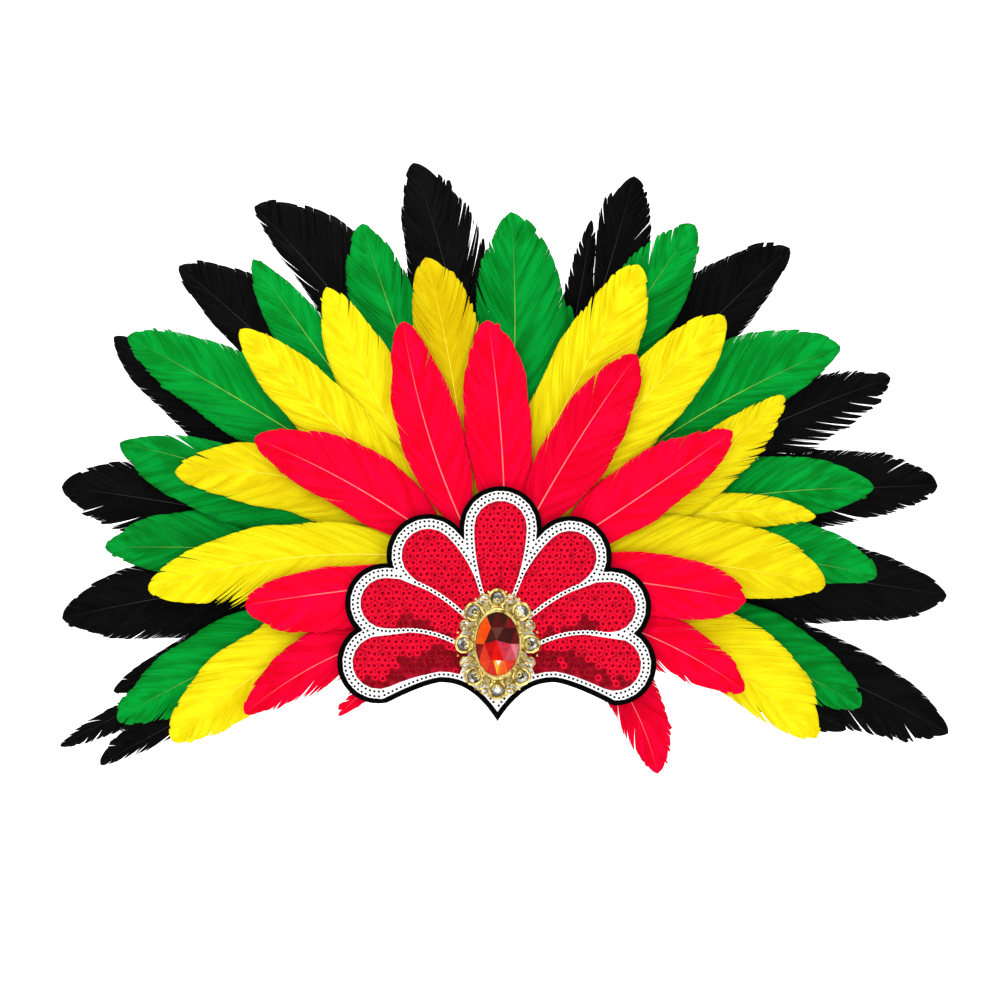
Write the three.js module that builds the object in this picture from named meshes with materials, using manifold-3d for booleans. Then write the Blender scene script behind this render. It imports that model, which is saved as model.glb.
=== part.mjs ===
// A carnival feather headdress as worn: a seven-lobed sequinned forehead plate with a brow point,
// an oval brooch on it, four rings of dyed feathers fanned out behind it, and an elastic head strap.
// Millimetres, +Z up. The wearer faces -Y. The origin is where the back of the plate sits on the
// middle of the forehead. The plate, the cloth layers and the feathers all follow one shallow bow
// from side to side, so everything is laid out flat in X and Z and then set back by that bow.
import * as THREE from "three";
import { mergeVertices } from "three/addons/utils/BufferGeometryUtils.js";
import Module from "manifold-3d";

const wasm = await Module();
wasm.setup();

// Driving dimensions
const SEAT_GAP = 0.3; // between pieces that lie on each other
const BOW_RADIUS = 500; // of the plate's sideways bow at the middle
const BOW_SLOPE = 0.18; // most that the bow falls back, per millimetre to the side

const BACK_FELT = 2; // thickness of the plain felt that closes the quills in
const BACK_HALF_WIDTH = 58;
const BACK_HALF_HEIGHT = 42;
const BACK_LIFT = 5; // its centre above the origin
const CORE_ROOM = 0.6; // between the felt core and the circle of quill ends round it
const CORE_SIDES = 32;
const CORE_FACETS = 8;

const STRAP_WIDTH = 25;
const STRAP_THICKNESS = 1.5;
const STRAP_TAB = 20; // length of each end that lies on the back felt
const STRAP_CORNER = 26; // radius beside the temples
const STRAP_HALF_WIDTH = 77; // of the loop's inside
const STRAP_SIDE = 62; // straight length along each side of the head
const STRAP_BACK_DEPTH = 78; // of the half oval behind the head

const QUILL_THICKNESS = 0.9;
const QUILL_WIDTH = 2.4;
const QUILL_POINT = 1.2; // width of its cut end
const QUILL_SLACK = 0.8; // room behind the quills, which cross the bow in straight runs
const VANE_THICKNESS = 0.7;
const TIERS = 3; // feathers of one ring lie in up to three tiers
const TIER_SLACK = 0.12;
const GRIP_RADIUS = 62; // inside this the quills are held flat on each other
const GRIP_EASE = 12; // over which the feathers ease away from it
const SPLAY = 0.008; // growth of the space between tiers, per millimetre beyond the grip
const SWEEP_RADIUS = 1200; // of the feathers' own backward curve
const CAMBER = 0.6; // how far a vane's edge falls back, as a share of the room behind it
const BARB_SWEEP = 0.75; // how far a barb runs towards the tip, as a share of its run sideways
const QUILL_BARE = 0.04; // share of the length without a vane
const VANE_WIDEST = 0.52; // where the vane is widest, as a share of the length
const TIP_WIDTH = 0.12; // of the vanes' width, left at the very tip
const NICK_DEPTH = 0.35; // of a parted vane's width
const NICK_LENGTH = 0.016; // half a parting's share of the length
const FAN_LIFT = 8; // the fan's centre above the origin

const FELT_THICKNESS = 3;
const CLOTH_THICKNESS = 0.8;
const TRIM_THICKNESS = 1.2;
const FELT_EDGE = 2.7; // black felt that shows round the trim
const TRIM_WIDTH = 5.7; // two rows of white sequins
const BROW_EDGE = 3.2; // of felt left below the trim over the brows
const NARROW_TRIM = 3; // one row, over the brows
const PLATE_DROP = 19.5; // the brooch's centre below the origin
const PETAL_REACH = 67; // from the brooch's centre to the middle of a petal's round end
const PETAL_RADIUS = 15.3; // of that round end
const PETAL_NECK = 8; // half width where a petal comes out from under the brooch
const PETAL_START = 27; // from the brooch's centre to the neck
const DIVIDER = 2.2; // narrowest band of trim between two petals
const BROW_CENTRE = 33; // from the brow point to the top of each arch, to the side
const BROW_RISE = 22.6; // and upwards
const BROW_POINTED = 2.3; // power of the curve between them
const BROW_OUTER = 34; // from the arch's top to its outer end, to the side
const BROW_FALL = 13.5; // and downwards
const BROW_FLARE = 1.35; // power of the curve between them
const BROW_POINT = 44.9; // the brow point below the brooch's centre

const SETTING_HALF_WIDTH = 25;
const SETTING_HALF_HEIGHT = 32.2;
const SETTING_THICKNESS = 2.4;
const SCROLL_RADIUS = 5.7;
const SCROLL_WIRE = 1.5;
const SCROLL_BOSS = 2.7;
const CUP_RADIUS = 3.3;
const CUP_HEIGHT = 3.6;
const CUP_OUT = 1.05; // cups stand this share of the scrolls' path from the centre
const CUP_STEM = 0.84; // where the stem that joins a cup to the middle lies, as a share of the cup's
const CUP_STONE_HEIGHT = 1;
const CUP_STEM_RADIUS = 2.5;
const BOSS_PROUD = 0.8;
const STONES_ROUND = 8; // scrolls, with as many small stones between them
const BEZEL_FOOT = 1.5; // ledge round the bezel
const STONE_FLOOR = 1; // metal behind the stone
const BEZEL_WALL = 1.5;
const BEZEL_HEIGHT = 4.6;
const STONE_HALF_WIDTH = 12.4;
const STONE_HALF_HEIGHT = 18.4;
const STONE_HEIGHT = 7.6;
const STONE_TABLE = 0.52; // of the stone's half sizes

// Each ring of feathers, from the front to the back: reach of a full feather from the fan's centre,
// width of its two vanes together, and radius of the circle where its quill starts
const RINGS = {
  red: { order: 0, reach: 165, width: 33.5, root: 30, colour: 0xe8102a, roughness: 0.6 },
  yellow: { order: 1, reach: 205, width: 39, root: 34, colour: 0xf5df1e, roughness: 0.6 },
  green: { order: 2, reach: 235, width: 41, root: 38, colour: 0x06993f, roughness: 0.55 },
  black: { order: 3, reach: 262, width: 46, root: 42, colour: 0x0c0c0c, roughness: 0.4 },
};

// One row for each feather. angle: of the tip, in degrees from the wearer's left. reach and width:
// shares of the ring's. swing: degrees from the tip's angle to the quill's. bend: bow of the shaft to
// the feather's left, as a share of its length. lean: how much wider its left vane is, as a share.
// tier: 0 lies in front. full: how blunt the tip is.
// nick: where a vane is parted, as a share of the length, on the left vane, or the right if negative.
const FEATHERS = {
  red: [
    { angle: 312, reach: 0.84, swing: 32, bend: 0.1, width: 0.9, lean: 0.15, tier: 2, full: 2.4, nick: 0 },
    { angle: 339, reach: 0.93, swing: 10, bend: 0.06, width: 0.95, lean: 0, tier: 1, full: 2.2, nick: -0.66 },
    { angle: 359, reach: 0.875, swing: 26, bend: 0.02, width: 1.08, lean: 0, tier: 0, full: 3, nick: 0 },
    { angle: 35, reach: 1.01, swing: 5, bend: -0.01, width: 1, lean: 0.05, tier: 1, full: 2.4, nick: 0 },
    { angle: 60, reach: 0.98, swing: 8, bend: 0.02, width: 1.06, lean: -0.05, tier: 0, full: 2.6, nick: 0.84 },
    { angle: 92, reach: 0.97, swing: -10, bend: -0.02, width: 1.08, lean: 0, tier: 1, full: 2.8, nick: 0 },
    { angle: 109, reach: 1.02, swing: 7, bend: 0.04, width: 0.92, lean: -0.1, tier: 0, full: 2.6, nick: -0.86 },
    { angle: 147, reach: 1.02, swing: -12, bend: -0.04, width: 1.06, lean: -0.1, tier: 1, full: 2.4, nick: 0 },
    { angle: 182, reach: 0.89, swing: -20, bend: -0.01, width: 1.1, lean: 0.2, tier: 0, full: 3, nick: 0 },
    { angle: 205, reach: 0.98, swing: 8, bend: -0.08, width: 1, lean: -0.12, tier: 1, full: 1.8, nick: 0.62 },
    { angle: 217, reach: 0.7, swing: -14, bend: -0.02, width: 0.42, lean: 0, tier: 2, full: 1.8, nick: 0 },
  ],
  yellow: [
    { angle: 336, reach: 0.99, swing: 36, bend: 0.06, width: 1.14, lean: 0.3, tier: 1, full: 3, nick: -0.86 },
    { angle: 2, reach: 0.93, swing: 42, bend: 0.03, width: 1.12, lean: 0.2, tier: 0, full: 2.8, nick: -0.6 },
    { angle: 14, reach: 0.93, swing: 16, bend: 0.09, width: 0.62, lean: 0, tier: 2, full: 1.9, nick: 0 },
    { angle: 35, reach: 0.99, swing: 6, bend: -0.05, width: 0.9, lean: -0.1, tier: 1, full: 2, nick: -0.84 },
    { angle: 51, reach: 1.02, swing: 5, bend: 0.03, width: 1.04, lean: -0.1, tier: 0, full: 3, nick: 0 },
    { angle: 67, reach: 1.02, swing: 24, bend: 0, width: 1.14, lean: -0.12, tier: 1, full: 2.6, nick: 0.84 },
    { angle: 102, reach: 0.98, swing: 17, bend: -0.03, width: 1.04, lean: -0.1, tier: 0, full: 3, nick: -0.84 },
    { angle: 119, reach: 1, swing: 4, bend: 0.03, width: 0.96, lean: -0.05, tier: 1, full: 2.4, nick: -0.93 },
    { angle: 134, reach: 1.05, swing: -6, bend: 0, width: 0.9, lean: 0, tier: 0, full: 2.6, nick: 0 },
    { angle: 159, reach: 0.98, swing: -16, bend: -0.11, width: 0.98, lean: 0.05, tier: 2, full: 2.6, nick: -0.93 },
    { angle: 179, reach: 0.99, swing: -36, bend: -0.06, width: 1.08, lean: 0.05, tier: 0, full: 2.4, nick: 0.6 },
    { angle: 204, reach: 1.01, swing: -28, bend: -0.06, width: 1.08, lean: -0.1, tier: 1, full: 3, nick: 0 },
  ],
  green: [
    { angle: 343, reach: 0.94, swing: 26, bend: 0.04, width: 1, lean: 0.2, tier: 1, full: 2.6, nick: -0.9 },
    { angle: 3, reach: 0.94, swing: 27, bend: 0.05, width: 0.95, lean: 0.3, tier: 0, full: 2.8, nick: 0 },
    { angle: 16, reach: 0.97, swing: 28, bend: 0.05, width: 0.98, lean: 0.1, tier: 1, full: 2.6, nick: 0 },
    { angle: 36, reach: 1.05, swing: 20, bend: 0.05, width: 1.2, lean: 0.25, tier: 0, full: 3, nick: 0 },
    { angle: 62, reach: 1.04, swing: 7, bend: 0.03, width: 1.12, lean: 0, tier: 1, full: 3, nick: 0.9 },
    { angle: 76, reach: 0.74, swing: 4, bend: -0.02, width: 0.5, lean: 0, tier: 2, full: 1.8, nick: 0 },
    { angle: 88, reach: 0.95, swing: 2, bend: -0.03, width: 1.35, lean: -0.12, tier: 0, full: 2.4, nick: 0.78 },
    { angle: 110, reach: 0.98, swing: -8, bend: 0.02, width: 1, lean: 0.15, tier: 1, full: 3.2, nick: -0.84 },
    { angle: 126, reach: 1.03, swing: -6, bend: 0.01, width: 0.86, lean: 0.1, tier: 0, full: 2.2, nick: 0 },
    { angle: 145, reach: 1.12, swing: -16, bend: -0.02, width: 1.14, lean: -0.12, tier: 1, full: 2.6, nick: 0 },
    { angle: 158, reach: 1.01, swing: -8, bend: -0.04, width: 1.12, lean: 0.3, tier: 0, full: 2.2, nick: -0.86 },
    { angle: 173, reach: 0.98, swing: -20, bend: -0.02, width: 1, lean: -0.15, tier: 1, full: 2.8, nick: 0 },
    { angle: 198, reach: 0.99, swing: -22, bend: -0.04, width: 1.08, lean: -0.05, tier: 0, full: 2.4, nick: 0.9 },
  ],
  black: [
    { angle: 339, reach: 0.83, swing: 20, bend: 0.01, width: 0.6, lean: 0, tier: 0, full: 3, nick: 0 },
    { angle: 343, reach: 1.05, swing: 22, bend: 0.04, width: 1.12, lean: -0.15, tier: 1, full: 2.2, nick: -0.94 },
    { angle: 0, reach: 1, swing: 20, bend: 0.03, width: 1.06, lean: -0.1, tier: 0, full: 2.6, nick: 0 },
    { angle: 14, reach: 1.01, swing: 16, bend: 0.05, width: 1, lean: 0.1, tier: 1, full: 3, nick: -0.8 },
    { angle: 29, reach: 1, swing: 16, bend: 0.03, width: 0.98, lean: -0.1, tier: 0, full: 2.4, nick: -0.9 },
    { angle: 50, reach: 1.01, swing: 8, bend: 0.03, width: 1, lean: 0.25, tier: 1, full: 3, nick: 0 },
    { angle: 72, reach: 0.98, swing: 4, bend: -0.02, width: 0.9, lean: -0.08, tier: 0, full: 3.4, nick: 0.8 },
    { angle: 76, reach: 0.86, swing: 0, bend: -0.03, width: 0.5, lean: 0, tier: 2, full: 1.9, nick: 0 },
    { angle: 101, reach: 0.98, swing: -6, bend: -0.03, width: 1.14, lean: -0.1, tier: 1, full: 2.4, nick: -0.8 },
    { angle: 122, reach: 1.02, swing: -12, bend: -0.05, width: 1.2, lean: -0.5, tier: 0, full: 2, nick: 0 },
    { angle: 134, reach: 1.02, swing: -8, bend: -0.02, width: 0.96, lean: -0.3, tier: 1, full: 3, nick: 0 },
    { angle: 146, reach: 1.03, swing: -6, bend: 0.02, width: 0.84, lean: 0.1, tier: 0, full: 2.4, nick: 0 },
    { angle: 166, reach: 1, swing: -14, bend: -0.02, width: 1.05, lean: 0, tier: 1, full: 3.2, nick: 0.86 },
    { angle: 183, reach: 0.97, swing: -20, bend: -0.03, width: 1.1, lean: 0, tier: 0, full: 2.6, nick: 0 },
    { angle: 194, reach: 0.88, swing: -18, bend: -0.03, width: 0.65, lean: 0, tier: 1, full: 2, nick: 0 },
    { angle: 199, reach: 1.03, swing: -18, bend: -0.03, width: 0.5, lean: 0, tier: 2, full: 2.4, nick: 0 },
    { angle: 203, reach: 0.96, swing: -12, bend: -0.02, width: 0.7, lean: -0.25, tier: 0, full: 2.2, nick: 0.92 },
  ],
};

// One row for each petal. angle: of its round end, in degrees from the wearer's left. neck: of its
// narrow end. reach, radius, waist and start: shares of the named petal sizes. bow: of its middle
// line to the petal's left, as a share of its length.
const PETALS = [
  { angle: -10, neck: -30, reach: 1.03, radius: 1, waist: 0.98, start: 0.8, bow: 0.11 },
  { angle: 18, neck: 18, reach: 1.03, radius: 0.96, waist: 1, start: 0.8, bow: 0.09 },
  { angle: 50, neck: 57, reach: 0.98, radius: 1, waist: 0.98, start: 1.02, bow: 0.01 },
  { angle: 88.5, neck: 89, reach: 1.01, radius: 1, waist: 0.9, start: 0.9, bow: 0 },
  { angle: 128, neck: 123, reach: 0.97, radius: 1.02, waist: 0.98, start: 1.02, bow: -0.02 },
  { angle: 160, neck: 161, reach: 1.03, radius: 0.96, waist: 1, start: 0.8, bow: -0.09 },
  { angle: 189, neck: 209, reach: 1.04, radius: 1, waist: 0.98, start: 0.8, bow: -0.11 },
];

// Values that follow from the driving dimensions
const TIER_STEP = QUILL_THICKNESS + SEAT_GAP + TIER_SLACK;
const TIER_COUNT = Object.keys(RINGS).length * TIERS;
const STACK = (TIER_COUNT - 1) * TIER_STEP + QUILL_THICKNESS;
const FAN_FRONT = -(BACK_FELT + SEAT_GAP + QUILL_SLACK + STACK);
const FELT_BACK = FAN_FRONT - SEAT_GAP;
const CLOTH_BACK = FELT_BACK - FELT_THICKNESS - SEAT_GAP;
const TRIM_BACK = CLOTH_BACK - CLOTH_THICKNESS - SEAT_GAP;
const SETTING_BACK = TRIM_BACK - TRIM_THICKNESS - SEAT_GAP;
const BOW_WIDTH = BOW_RADIUS * BOW_SLOPE;
const PLATE_HALF_WIDTH = PETAL_REACH * 1.1 + PETAL_RADIUS + TRIM_WIDTH + FELT_EDGE;
const FACETS = 12; // flat strips across a bowed plate
const SLAB_HEIGHT = 4 * PETAL_REACH;
const CUT_ROOM = 5; // how far a cutting solid runs past what it cuts

const rad = THREE.MathUtils.degToRad;
const clamp = THREE.MathUtils.clamp;
const vec2 = (x, y) => new THREE.Vector2(x, y);

function polar(angle, reach) {
  return vec2(Math.cos(rad(angle)) * reach, Math.sin(rad(angle)) * reach);
}

// A curve between two points that bows to its left by a share of its length
function bowedLine(from, to, bow) {
  const chord = to.clone().sub(from);
  const aside = vec2(-chord.y, chord.x).multiplyScalar(2 * bow);
  const middle = from.clone().add(to).multiplyScalar(0.5).add(aside);
  return new THREE.QuadraticBezierCurve(from, middle, to);
}

// How far back the sideways bow sets a point
function bowAt(x) {
  return BOW_WIDTH * BOW_SLOPE * (Math.hypot(1, x / BOW_WIDTH) - 1);
}

function toSolid(geometry) {
  const bare = geometry.clone();
  bare.deleteAttribute("normal");
  bare.deleteAttribute("uv");
  const merged = mergeVertices(bare, 1e-4);
  return new wasm.Manifold(
    new wasm.Mesh({
      numProp: 3,
      vertProperties: new Float32Array(merged.attributes.position.array),
      triVerts: new Uint32Array(merged.index.array),
    }),
  );
}

function toGeometry(solid) {
  const mesh = solid.getMesh();
  const geometry = new THREE.BufferGeometry();
  geometry.setAttribute("position", new THREE.BufferAttribute(mesh.vertProperties, 3));
  geometry.setIndex(new THREE.BufferAttribute(mesh.triVerts, 1));
  geometry.computeVertexNormals();
  return geometry;
}

function unionOf(solids) {
  return solids.reduce((whole, next) => whole.add(next));
}

function named(name, geometry, colour, roughness, metalness = 0) {
  const material = new THREE.MeshStandardMaterial({ color: colour, roughness, metalness });
  const mesh = new THREE.Mesh(geometry, material);
  mesh.name = name;
  return mesh;
}

// A flat outline in X and Z as a solid between two depths
function prism(points, front, back) {
  const geometry = new THREE.ExtrudeGeometry(new THREE.Shape(points), {
    depth: back - front,
    bevelEnabled: false,
  });
  geometry.rotateX(Math.PI / 2);
  geometry.translate(0, back, 0);
  return toSolid(geometry);
}

// A tall slab whose front and back follow the bow
function bowedSlab(front, back, halfWidth, facets = FACETS) {
  const rear = [];
  const face = [];
  for (let i = 0; i <= facets; i++) {
    const x = halfWidth * ((2 * i) / facets - 1);
    face.push(vec2(x, front + bowAt(x)));
    rear.unshift(vec2(x, back + bowAt(x)));
  }
  const geometry = new THREE.ExtrudeGeometry(new THREE.Shape([...face, ...rear]), {
    depth: SLAB_HEIGHT,
    bevelEnabled: false,
  });
  geometry.translate(0, 0, -SLAB_HEIGHT / 2);
  return toSolid(geometry);
}

// Feathers

// Half the width of one vane at a share of the feather's length: bare quill, then a slow rise to
// the widest place, then the rounding of the tip
function vaneShare(along, full) {
  const rise = clamp((along - QUILL_BARE) / (VANE_WIDEST - QUILL_BARE), 0, 1);
  const fall = clamp((along - VANE_WIDEST) / (1 - VANE_WIDEST), 0, 1);
  return Math.pow(Math.sin((rise * Math.PI) / 2), 0.6) * Math.pow(1 - Math.pow(fall, full), 0.6);
}

function shaftCurve(ring, row) {
  const tip = polar(row.angle, ring.reach * row.reach);
  return bowedLine(polar(row.angle + row.swing, ring.root), tip, row.bend);
}

// Depth of a tier at a place in the fan: the bow, the feathers' own curve and the splay of the tiers
function fanDepth(place, tier) {
  const past = place.length() - GRIP_RADIUS;
  const beyond = (past + Math.hypot(past, GRIP_EASE)) / 2;
  const step = TIER_STEP * (1 + SPLAY * beyond);
  const sweep = (beyond * beyond) / (2 * SWEEP_RADIUS);
  return { middle: bowAt(place.x) + sweep + tier * step, step };
}

// One feather: sections along the shaft, each a flat chevron whose arms follow the barbs
function featherGeometry(ring, row) {
  const shaft = shaftCurve(ring, row);
  const length = shaft.getLength();
  const halfWidth = (ring.width * row.width) / 2;
  const tier = ring.order * TIERS + row.tier;
  const places = [0, 0.1, 0.24, 0.42, 0.6, 0.76, 0.88, 0.95, 1];
  const nick = Math.abs(row.nick);
  if (nick > 0) places.push(nick - NICK_LENGTH, nick, nick + NICK_LENGTH);
  places.sort((a, b) => a - b);
  const positions = [];
  for (const along of places) {
    const share = Math.max(vaneShare(along, row.full), 0);
    const least = along === 0 ? QUILL_POINT / 2 : Math.min(QUILL_WIDTH / 2, halfWidth * TIP_WIDTH);
    const width = Math.max(halfWidth * share, least);
    const onShaft = shaft.getPointAt(Math.max(along - (BARB_SWEEP * width) / length, 0));
    const outer = shaft.getPointAt(along);
    const tangent = shaft.getTangentAt(along);
    const edges = [1, -1].map((side) => {
      const edge = outer.clone().add(vec2(-tangent.y, tangent.x).multiplyScalar(side * width * (1 + side * row.lean)));
      return along === nick && side === Math.sign(row.nick) ? edge.lerp(onShaft, NICK_DEPTH) : edge;
    });
    const quill = THREE.MathUtils.lerp(QUILL_THICKNESS, VANE_THICKNESS, along);
    const bare = share === 0;
    const section = [
      [edges[0], bare ? quill : VANE_THICKNESS, bare ? 0 : CAMBER],
      [onShaft, quill, 0],
      [edges[1], bare ? quill : VANE_THICKNESS, bare ? 0 : CAMBER],
    ].map(([place, thickness, camber]) => {
      const { middle, step } = fanDepth(place, tier);
      const depth = middle + QUILL_THICKNESS / 2 + camber * (step - TIER_STEP);
      return { place, front: depth - thickness / 2, back: depth + thickness / 2 };
    });
    for (const point of section) positions.push(point.place.x, point.front, point.place.y);
    for (const point of section.reverse()) positions.push(point.place.x, point.back, point.place.y);
  }
  return loft(positions, 6);
}

// Closes a row of sections, each with the same number of points, into one skin
function loft(positions, around) {
  const sections = positions.length / 3 / around;
  const faces = [];
  for (let i = 0; i + 1 < sections; i++) {
    for (let j = 0; j < around; j++) {
      const a = i * around + j;
      const b = i * around + ((j + 1) % around);
      faces.push(a, b, a + around, b, b + around, a + around);
    }
  }
  const last = (sections - 1) * around;
  const cap = [0, 4, 5, 0, 1, 4, 1, 3, 4, 1, 2, 3];
  for (let i = 0; i < cap.length; i += 3) {
    faces.push(cap[i], cap[i + 2], cap[i + 1]);
    faces.push(last + cap[i], last + cap[i + 1], last + cap[i + 2]);
  }
  const geometry = new THREE.BufferGeometry();
  geometry.setAttribute("position", new THREE.Float32BufferAttribute(positions, 3));
  geometry.setIndex(faces);
  geometry.computeVertexNormals();
  return geometry;
}

function buildFan() {
  const fan = new THREE.Group();
  fan.position.set(0, FAN_FRONT, FAN_LIFT);
  for (const [colour, rows] of Object.entries(FEATHERS)) {
    const ring = RINGS[colour];
    rows.forEach((row, i) => {
      const name = `${colour}_feather_${String(i + 1).padStart(2, "0")}`;
      fan.add(named(name, featherGeometry(ring, row), ring.colour, ring.roughness));
    });
  }
  return fan;
}

// Plate

function petalLine(petal) {
  const neck = polar(petal.neck, PETAL_START * petal.start);
  return bowedLine(neck, polar(petal.angle, PETAL_REACH * petal.reach), petal.bow);
}

// The outline of one petal, widened by grow: a row of circles along a bowed middle line
function petalOutline(petal, grow) {
  const line = petalLine(petal);
  const end = line.getPoint(1);
  const steps = 6;
  const round = 9;
  const left = [];
  const right = [];
  for (let i = 0; i <= steps; i++) {
    const share = i / steps;
    const swell = Math.sin((share * Math.PI) / 2);
    const radius = THREE.MathUtils.lerp(PETAL_NECK * petal.waist, PETAL_RADIUS * petal.radius, swell) + grow;
    const tangent = line.getTangent(share);
    const out = vec2(-tangent.y, tangent.x).multiplyScalar(radius);
    const point = line.getPoint(share);
    left.push(point.clone().add(out));
    right.unshift(point.clone().sub(out));
  }
  const tangent = line.getTangent(1);
  const heading = Math.atan2(tangent.y, tangent.x);
  const cap = [];
  for (let i = 1; i < round; i++) {
    const turn = heading + Math.PI / 2 - (Math.PI * i) / round;
    const radius = PETAL_RADIUS * petal.radius + grow;
    cap.push(vec2(end.x + Math.cos(turn) * radius, end.y + Math.sin(turn) * radius));
  }
  return [...left, ...cap, ...right];
}

// The arch over one brow, from the brow point to its outer end, widened by grow
function browOutline(side, grow) {
  const steps = 7;
  const line = [];
  for (let i = 0; i <= steps; i++) {
    const share = 1 - i / steps;
    line.push(vec2(BROW_CENTRE * (1 - share), BROW_RISE * (1 - Math.pow(share, BROW_POINTED)) - BROW_POINT));
  }
  const top = line[steps];
  for (let i = 1; i <= steps; i++) {
    const share = i / steps;
    line.push(vec2(top.x + BROW_OUTER * share, top.y - BROW_FALL * Math.pow(share, BROW_FLARE)));
  }
  const points = line.map((point, i) => {
    const along = line[Math.min(i + 1, line.length - 1)].clone().sub(line[Math.max(i - 1, 0)]).normalize();
    return point.clone().add(vec2(-along.y, along.x).multiplyScalar(grow));
  });
  const [inner, end] = [points[0], points[points.length - 1]];
  points.push(vec2(end.x + BROW_OUTER, end.y - BROW_FALL));
  points.push(vec2(end.x + BROW_OUTER, -BROW_POINT - BROW_RISE));
  points.push(vec2(inner.x, -BROW_POINT - BROW_RISE));
  return points.map((point) => vec2(side * point.x, point.y));
}

function petalSolids(grow, front, back) {
  return PETALS.map((petal) => prism(petalOutline(petal, grow), front, back));
}

// The front and back of a straight solid that cuts through a bowed plate
function cutDepth(front, back) {
  return [front - CUT_ROOM, back + bowAt(PLATE_HALF_WIDTH) + CUT_ROOM];
}

// The band kept between two neighbouring petals, along the line halfway between them
function dividerOutline(first, second) {
  const lines = [petalLine(first), petalLine(second)];
  const steps = 6;
  const halfway = (share) => lines[0].getPoint(share).add(lines[1].getPoint(share)).multiplyScalar(0.5);
  const left = [];
  const right = [];
  for (let i = 0; i < steps; i++) {
    const from = halfway(i / steps);
    const to = halfway((i + 1) / steps);
    const along = to.clone().sub(from).normalize();
    const out = vec2(-along.y, along.x).multiplyScalar(DIVIDER / 2);
    const end = i + 1 < steps ? from : to.clone().add(along.multiplyScalar(PETAL_RADIUS));
    left.push(end.clone().add(out));
    right.unshift(end.clone().sub(out));
  }
  return [...left, ...right];
}

// The whole plate's outline, widened from the petals by grow and kept edge above the brow arches
function plateSolid(grow, edge, front, back) {
  const depth = cutDepth(front, back);
  const middle = [
    vec2(-BROW_CENTRE, PETAL_START),
    vec2(BROW_CENTRE, PETAL_START),
    vec2(BROW_CENTRE, -BROW_POINT),
    vec2(-BROW_CENTRE, -BROW_POINT),
  ];
  const body = unionOf([...petalSolids(grow, ...depth), prism(middle, ...depth)]);
  const brows = [1, -1].map((side) => prism(browOutline(side, edge), ...depth));
  return body.subtract(unionOf(brows)).intersect(bowedSlab(front, back, PLATE_HALF_WIDTH));
}

function buildPlate() {
  const plate = new THREE.Group();
  plate.position.set(0, 0, -PLATE_DROP);
  const felt = plateSolid(TRIM_WIDTH + FELT_EDGE, 0, FELT_BACK - FELT_THICKNESS, FELT_BACK);
  const cloth = plateSolid(TRIM_WIDTH / 2, BROW_EDGE * 1.5, CLOTH_BACK - CLOTH_THICKNESS, CLOTH_BACK);
  const whole = plateSolid(TRIM_WIDTH, BROW_EDGE, TRIM_BACK - TRIM_THICKNESS, TRIM_BACK);
  const depth = cutDepth(TRIM_BACK - TRIM_THICKNESS, TRIM_BACK);
  const band = BROW_EDGE + NARROW_TRIM;
  const brows = [1, -1].map((side) => prism(browOutline(side, band), ...depth));
  const dividers = PETALS.slice(1).map((petal, i) => prism(dividerOutline(PETALS[i], petal), ...depth));
  const openings = unionOf(petalSolids(0, ...depth)).subtract(unionOf([...brows, ...dividers]));
  const trim = whole.subtract(openings);
  plate.add(named("felt_base", toGeometry(felt), 0x0a0a0a, 0.9));
  plate.add(named("sequin_cloth", toGeometry(cloth), 0xd8123a, 0.35, 0.3));
  plate.add(named("sequin_trim", toGeometry(trim), 0xf2f0ee, 0.4));
  return plate;
}

// Brooch

function ovalRing(halfWidth, halfHeight, sides) {
  const points = [];
  for (let i = 0; i < sides; i++) {
    const turn = (2 * Math.PI * i) / sides;
    points.push(vec2(Math.cos(turn) * halfWidth, Math.sin(turn) * halfHeight));
  }
  return points;
}

function disc(centre, radius, sides, front, back) {
  return prism(
    ovalRing(radius, radius, sides).map((p) => p.add(centre)),
    front,
    back,
  );
}

// One open scroll: a ring with a boss set against its inner side, so that a crescent stays open
function scroll(centre, front, back) {
  const inner = SCROLL_RADIUS - SCROLL_WIRE;
  const inward = centre.clone().normalize().multiplyScalar((SCROLL_BOSS - inner) * 1.3);
  const ring = disc(centre, SCROLL_RADIUS, 10, front, back);
  const hole = disc(centre, inner, 8, front - CUT_ROOM, back + CUT_ROOM);
  const boss = disc(centre.clone().add(inward), SCROLL_BOSS, 7, front - BOSS_PROUD, back);
  return { ring, hole, boss };
}

// A small stone with a flat table, standing in its cup
function stoneOn(centre, front) {
  const height = CUP_STONE_HEIGHT;
  const crown = new THREE.CylinderGeometry(CUP_RADIUS * 0.45, CUP_RADIUS * 0.82, height, 8);
  crown.rotateX(Math.PI / 2);
  crown.scale(1, -1, 1);
  crown.index.array.reverse();
  crown.translate(centre.x, front - height / 2 + 0.05, centre.y);
  return toSolid(crown);
}

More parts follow.
